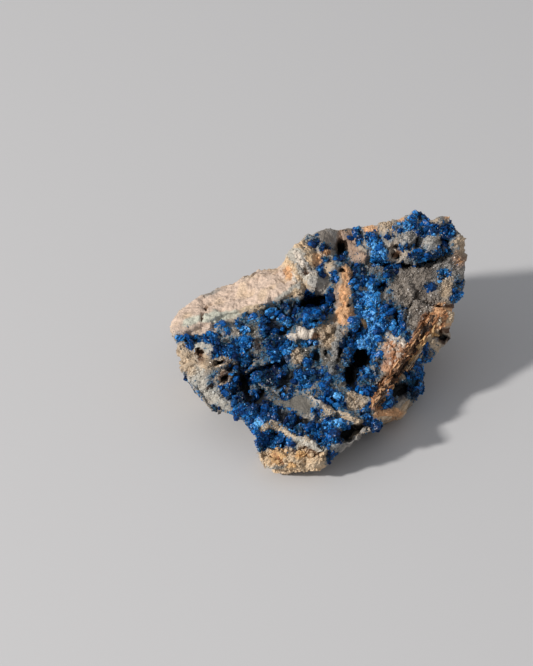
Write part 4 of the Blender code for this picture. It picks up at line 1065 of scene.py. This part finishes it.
def grain_group():
    """Mottling, bump and wear that all the minerals share, in grains a fraction of a millimetre wide."""
    group = bpy.data.node_groups.new("mineral_grain", "ShaderNodeTree")
    for label, kind, value in (
        ("Colour", "NodeSocketColor", (0.5, 0.5, 0.5, 1.0)),
        ("Grains per metre", "NodeSocketFloat", 2500.0),
        ("Contrast", "NodeSocketFloat", 0.3),
    ):
        made = group.interface.new_socket(name=label, in_out="INPUT", socket_type=kind)
        made.default_value = value
    group.interface.new_socket(name="Colour", in_out="OUTPUT", socket_type="NodeSocketColor")
    group.interface.new_socket(name="Height", in_out="OUTPUT", socket_type="NodeSocketFloat")
    group.interface.new_socket(name="Roughness", in_out="OUTPUT", socket_type="NodeSocketFloat")
    node, link = group.nodes.new, group.links.new
    given, result = node("NodeGroupInput"), node("NodeGroupOutput")
    place = node("ShaderNodeTexCoord")
    cloud = node("ShaderNodeTexNoise")
    cloud.inputs["Detail"].default_value = 3.0
    cells = node("ShaderNodeTexVoronoi")
    link(place.outputs["Object"], cloud.inputs["Vector"])
    link(place.outputs["Object"], cells.inputs["Vector"])
    link(given.outputs["Grains per metre"], cloud.inputs["Scale"])
    link(given.outputs["Grains per metre"], cells.inputs["Scale"])
    height = node("ShaderNodeMath")
    height.operation = "SUBTRACT"
    link(cloud.outputs["Fac"], height.inputs[0])
    link(cells.outputs["Distance"], height.inputs[1])
    brightness = node("ShaderNodeMath")
    brightness.operation = "MULTIPLY_ADD"
    link(height.outputs[0], brightness.inputs[0])
    link(given.outputs["Contrast"], brightness.inputs[1])
    brightness.inputs[2].default_value = 1.0
    shaded = node("ShaderNodeVectorMath")
    shaded.operation = "SCALE"
    link(given.outputs["Colour"], shaded.inputs[0])
    link(brightness.outputs[0], shaded.inputs["Scale"])
    wear = node("ShaderNodeMapRange")
    wear.inputs["To Min"].default_value = 0.45
    wear.inputs["To Max"].default_value = 0.95
    link(cloud.outputs["Fac"], wear.inputs["Value"])
    link(shaded.outputs[0], result.inputs["Colour"])
    link(height.outputs[0], result.inputs["Height"])
    link(wear.outputs[0], result.inputs["Roughness"])
    return group


def mineral(name, grain, source, scale, contrast, bump, roughness, gleam):
    """A finish whose colour is the piece's own attribute, mottled and bumped by the grain, which also
    gives its roughness where none is named."""
    made = bpy.data.materials.new(name)
    made.use_nodes = True
    tree = made.node_tree
    link = tree.links.new
    shader = tree.nodes["Principled BSDF"]
    attribute = tree.nodes.new("ShaderNodeAttribute")
    attribute.attribute_name = source
    effect = tree.nodes.new("ShaderNodeGroup")
    effect.node_tree = grain
    effect.inputs["Grains per metre"].default_value = scale
    effect.inputs["Contrast"].default_value = contrast
    link(attribute.outputs["Color"], effect.inputs["Colour"])
    link(effect.outputs["Colour"], shader.inputs["Base Color"])
    raised = tree.nodes.new("ShaderNodeBump")
    raised.inputs["Strength"].default_value = bump
    raised.inputs["Distance"].default_value = 0.2 * MM
    link(effect.outputs["Height"], raised.inputs["Height"])
    link(raised.outputs["Normal"], shader.inputs["Normal"])
    if roughness is None:
        link(effect.outputs["Roughness"], shader.inputs["Roughness"])
    else:
        shader.inputs["Roughness"].default_value = roughness
    shader.inputs["Specular IOR Level"].default_value = gleam
    return made


def blue_cover(across, up, points, ovals):
    """1 on a blue patch, ragged at its edge, then the same a little wider, for its teal margin."""
    a, u = wobbled(across, up, points, 0.4, 91)
    share = np.min([oval_share(a, u, oval) for oval in ovals], axis=0)
    return 1.0 - smooth_step(0.85, 1.2, share), 1.0 - smooth_step(1.0, 1.9, share)


def close_growth(across, up, points):
    """1 where the crystals stand close, 0 in the small bare places among them."""
    scattered_spots = smooth_step(-0.34, -0.06, rough_noise(points, 2.1, 2, 96))
    return np.maximum(scattered_spots, covered(across, up, DENSE, 0.25))


def plate_colours(places, chance):
    """One tone for each layer of the side, with some chance."""
    across, up, _ = seen_from_display(places)
    layer, _ = side_layers(across, up, places)
    tones = np.array([daylight(tone) for tone in PLATE_TONES])
    number = np.floor(2.0 * layer + chance.normal(0.0, 0.3, len(places))).astype(int) % len(tones)
    return tones[number] * chance.uniform(0.7, 1.15, (len(places), 1))


def build_rock(finish):
    """The rock's surface with its fine relief and its colours. Gives what the pieces set on it need: its
    mesh, its normals before the relief, where each point shows from the display viewpoint, and how far
    each point faces the display, is bare, blue, closely grown, in a gap and dark."""
    sphere, quads = folded_square()
    points = rock_surface(crowded(sphere))
    normals = corner_normals(points, quads)
    across, up, _ = seen_from_display(points)
    facing = smooth_step(-0.05, 0.3, normals @ OUT)
    patches = {name: blue_cover(across, up, points, ovals) for name, ovals in PATCHES.items()}
    paint, bare = painted_stone(across, up, points, smooth_step(-0.45, 0.0, normals @ OUT))
    blue = np.max([inside for inside, _ in patches.values()], axis=0) * (facing * (1.0 - bare))
    near_blue = np.max([wide for _, wide in patches.values()], axis=0) * facing
    near_blue *= 1.0 - 0.75 * np.maximum(bare, covered(across, up, SMOOTH, 0.3))
    gap = clump_gaps(points, blue)
    close = close_growth(across, up, points)
    height = fine_relief(across, up, points, facing, blue) - 0.9 * gap
    dark, deeper = hollow_share(across, up, points)
    colours = stained_stone(paint, points, blue * (0.25 + 0.75 * close), near_blue, gap, dark * facing)
    points = points + normals * (height * (1.0 - dark))[:, None] - OUT * (facing * deeper)[:, None]
    points = rest_on_floor(points)
    worn = by_face(covered(across, up, RIND, 0.2) * facing, quads) > 0.5
    piece = make_mesh("matrix_rock_surface", points, quads, finish, "stone_colour", colours, worn)
    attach(piece, "root")
    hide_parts("matrix_rock")
    return SimpleNamespace(
        points=points, quads=quads, normals=normals, across=across, up=up, facing=facing, bare=bare,
        blue=blue, close=close, gap=gap, dark=dark, colours=colours, patches=patches,
    )


def standing_room(rock):
    """The unit normal of each face of the rock, and how much of its area things can stand on: all where
    it looks to the display, none in dark hollows and gaps or less than 1 mm above the floor."""
    face_normals = area_normals(rock.points, rock.quads)
    areas = np.linalg.norm(face_normals, axis=1) / 2.0
    face_normals = face_normals / np.maximum(2.0 * areas[:, None], 1e-12)
    room = areas * smooth_step(-0.05, 0.25, face_normals @ OUT)
    room *= 1.0 - smooth_step(0.1, 0.6, by_face(np.maximum(rock.dark, rock.gap), rock.quads))
    room *= smooth_step(1.0, 2.0, rock.points[rock.quads, 2].min(axis=1))
    return face_normals, room


def blue_tints(rock):
    """How light the crystals on each face are: uneven, deeper in the valleys between hummocks as painted
    shade, and lifted or lowered as painted light and painted shade at the places listed for the blue."""
    tint = 0.44 + 0.42 * rough_noise(rock.points, 3.0, 2, 95)
    # Painted shade: crystals deeper in the valleys between hummocks.
    valley, _, _, _ = cells_near(rock.points, 1.9, 61)
    tint -= 0.3 * (smooth_step(0.35, 0.9, valley) - 0.3)
    # Painted light and painted shade: the blue lifted and lowered at the listed places.
    for *disc, lift in PAINTED_BLUE_LIGHT_AND_SHADE:
        tint += lift * (1.0 - smooth_step(0.5, 1.3, disc_share(rock.across, rock.up, disc)))
    return by_face(tint, rock.quads)


def build_crusts(rock, face_normals, room, finish):
    """One piece of grown crystals for each crust: large ones well inside its patches, smaller ones up to
    their edges, small teal ones on the margin round them, and the large ones that are set singly."""
    quads = rock.quads
    growable = room * (1.0 - smooth_step(0.1, 0.6, by_face(rock.bare, quads)))
    growable_margin = room * (1.0 - 0.75 * by_face(rock.bare, quads))
    close = by_face(rock.close, quads)
    face_tint = blue_tints(rock)
    for number, (name, (inside, wide)) in enumerate(rock.patches.items()):
        chance = np.random.default_rng(100 + number)
        inside, wide = by_face(inside, quads), by_face(wide, quads)
        edge = np.clip(wide - inside, 0.0, 1.0)
        parts = []
        # Form, where, how many to a square millimetre, sizes from and to, tilt, share of teal.
        for form, weights, density, smallest, largest, tilt, teal in (
            (LARGE_CRYSTAL, inside**2 * close * growable, 0.45, 0.85, 1.7, 0.8, 0.0),
            (MIDDLE_CRYSTAL, inside * close * growable, 9.0, 0.34, 0.72, 1.0, 0.05),
            (SMALL_CRYSTAL, inside * (0.2 + 0.8 * close) * growable, 24.0, 0.16, 0.42, 1.0, 0.25),
            (SMALL_CRYSTAL, edge**2 * growable_margin, 10.0, 0.12, 0.34, 0.9, 0.5),
        ):
            count = int(density * weights.sum())
            if count < 1:
                continue
            chosen, places = scattered(rock.points, quads, weights, count, chance)
            sizes = chance.uniform(smallest, largest, count)
            made, triangles = grown(form, places, face_normals[chosen], sizes, tilt, chance)
            tint = np.clip(face_tint[chosen] + chance.normal(0.0, 0.2, count), 0.0, 1.0)
            green = np.clip(teal + chance.normal(0.0, 0.15, count), 0.0, 0.9)
            shades = np.repeat(blue_colours(tint, green), len(form[0]), axis=0)
            parts.append((made, triangles, shades))
        parts.append(single_crystals(SINGLE_CRYSTALS[name], rock, chance))
        made, triangles, shades = joined_parts(parts)
        crystals = make_mesh(f"{name}_grown", made, triangles, finish, "crystal_colour", shades)
        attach(crystals, "root")
        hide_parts(name)


def build_chips(rock, face_normals, room, points_finish, stone):
    """Quartz points on the druse, crumbs on the crumbly stone, and plates along the layered side. Small
    ones are far more numerous than large ones."""
    across, up, facing = rock.across, rock.up, rock.facing
    knobbly = covered(across, up, DRUSE, 0.3) * facing * (1.0 - rock.blue)
    crumbly = covered(across, up, CRUMBLY, 0.2) * facing * rock.bare
    layered = side_layers(across, up, rock.points)[1] * facing
    stone_shades = rock.colours[rock.quads[:, 0]]
    # Name, form, where, how many to a square millimetre, sizes from and to, finish.
    for number, (name, form, cover, density, smallest, largest, finish) in enumerate((
        ("quartz_druse", QUARTZ_POINT, knobbly, 11.0, 0.16, 0.46, points_finish),
        ("stone_crumbs", CRUMB, crumbly, 4.0, 0.25, 0.85, stone),
        ("side_plates", PLATE, layered, 9.0, 0.5, 1.2, stone),
    )):
        chance = np.random.default_rng(200 + number)
        weights = room * by_face(cover, rock.quads)
        count = int(density * weights.sum())
        chosen, places = scattered(rock.points, rock.quads, weights, count, chance)
        sizes = smallest + (largest - smallest) * chance.random(count) ** 2
        if form is PLATE:
            made, triangles = laid_plates(places, face_normals[chosen], sizes, chance)
            shades = plate_colours(places, chance)
        else:
            made, triangles = grown(form, places, face_normals[chosen], sizes, 0.7, chance)
            shades = stone_shades[chosen] * chance.uniform(0.82, 1.15, (count, 1))
        shades = np.repeat(np.clip(shades, 0.0, 1.0), len(form[0]), axis=0)
        chips = make_mesh(name, made, triangles, finish, "stone_colour", shades)
        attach(chips, "root")


def build_specimen():
    """The rock, then the crusts of crystals and the chips of stone that stand on it."""
    grain = grain_group()
    stone = mineral(
        "quartz_rock", grain, "stone_colour",
        scale=2600.0, contrast=0.4, bump=0.55, roughness=None, gleam=0.4,
    )
    points_finish = mineral(
        "quartz_points", grain, "stone_colour",
        scale=1500.0, contrast=0.35, bump=0.25, roughness=0.28, gleam=0.5,
    )
    blue_finish = mineral(
        "veszelyite", grain, "crystal_colour",
        scale=2600.0, contrast=1.8, bump=0.35, roughness=0.28, gleam=0.24,
    )
    rock = build_rock(stone)
    face_normals, room = standing_room(rock)
    build_crusts(rock, face_normals, room, blue_finish)
    build_chips(rock, face_normals, room, points_finish, stone)


def build_stage():
    """A plain pale floor, one soft key light from the left, even light all round, and the camera."""
    scene = bpy.context.scene
    half = FLOOR_SIDE / 2.0
    mesh = bpy.data.meshes.new("floor")
    corners = ((-half, -half, 0), (half, -half, 0), (half, half, 0), (-half, half, 0))
    mesh.from_pydata(corners, [], [(0, 1, 2, 3)])
    floor = bpy.data.objects.new("floor", mesh)
    scene.collection.objects.link(floor)
    pale = bpy.data.materials.new("pale_floor")
    pale.use_nodes = True
    finish = pale.node_tree.nodes["Principled BSDF"]
    finish.inputs["Base Color"].default_value = FLOOR_COLOUR
    finish.inputs["Roughness"].default_value = 0.9
    mesh.materials.append(pale)

    world = bpy.data.worlds.new("even_light")
    world.use_nodes = True
    sky = world.node_tree.nodes["Background"]
    sky.inputs["Color"].default_value = SKY_COLOUR
    sky.inputs["Strength"].default_value = SKY_STRENGTH
    scene.world = world

    centre = Vector(DISPLAY_CENTRE) + Vector(STANDING_SHIFT)
    lamp = bpy.data.lights.new("key", "AREA")
    lamp.size = LIGHT_SIDE
    lamp.energy = LIGHT_POWER
    lamp.color = LIGHT_COLOUR
    key = bpy.data.objects.new("key", lamp)
    towards = Vector(TOWARDS_LIGHT).normalized()
    key.location = centre * MM + towards * LIGHT_DISTANCE
    key.rotation_mode = "QUATERNION"
    key.rotation_quaternion = towards.to_track_quat("Z", "Y")
    scene.collection.objects.link(key)

    lens = bpy.data.cameras.new("camera")
    lens.sensor_width = SENSOR
    lens.lens = SENSOR * VIEW_DISTANCE / PICTURE_LONG_SIDE
    camera = bpy.data.objects.new("camera", lens)
    across, up, out = Vector(ACROSS), Vector(UP), Vector(OUT)
    place = centre + across * VIEW_AXIS[0] + up * VIEW_AXIS[1] + out * VIEW_DISTANCE
    camera.matrix_world = (
        Matrix.Translation(place * MM) @ Matrix((across, up, out)).transposed().to_4x4()
    )
    scene.collection.objects.link(camera)
    scene.camera = camera
    scene.view_settings.view_transform = "Standard"


build_specimen()
build_stage()
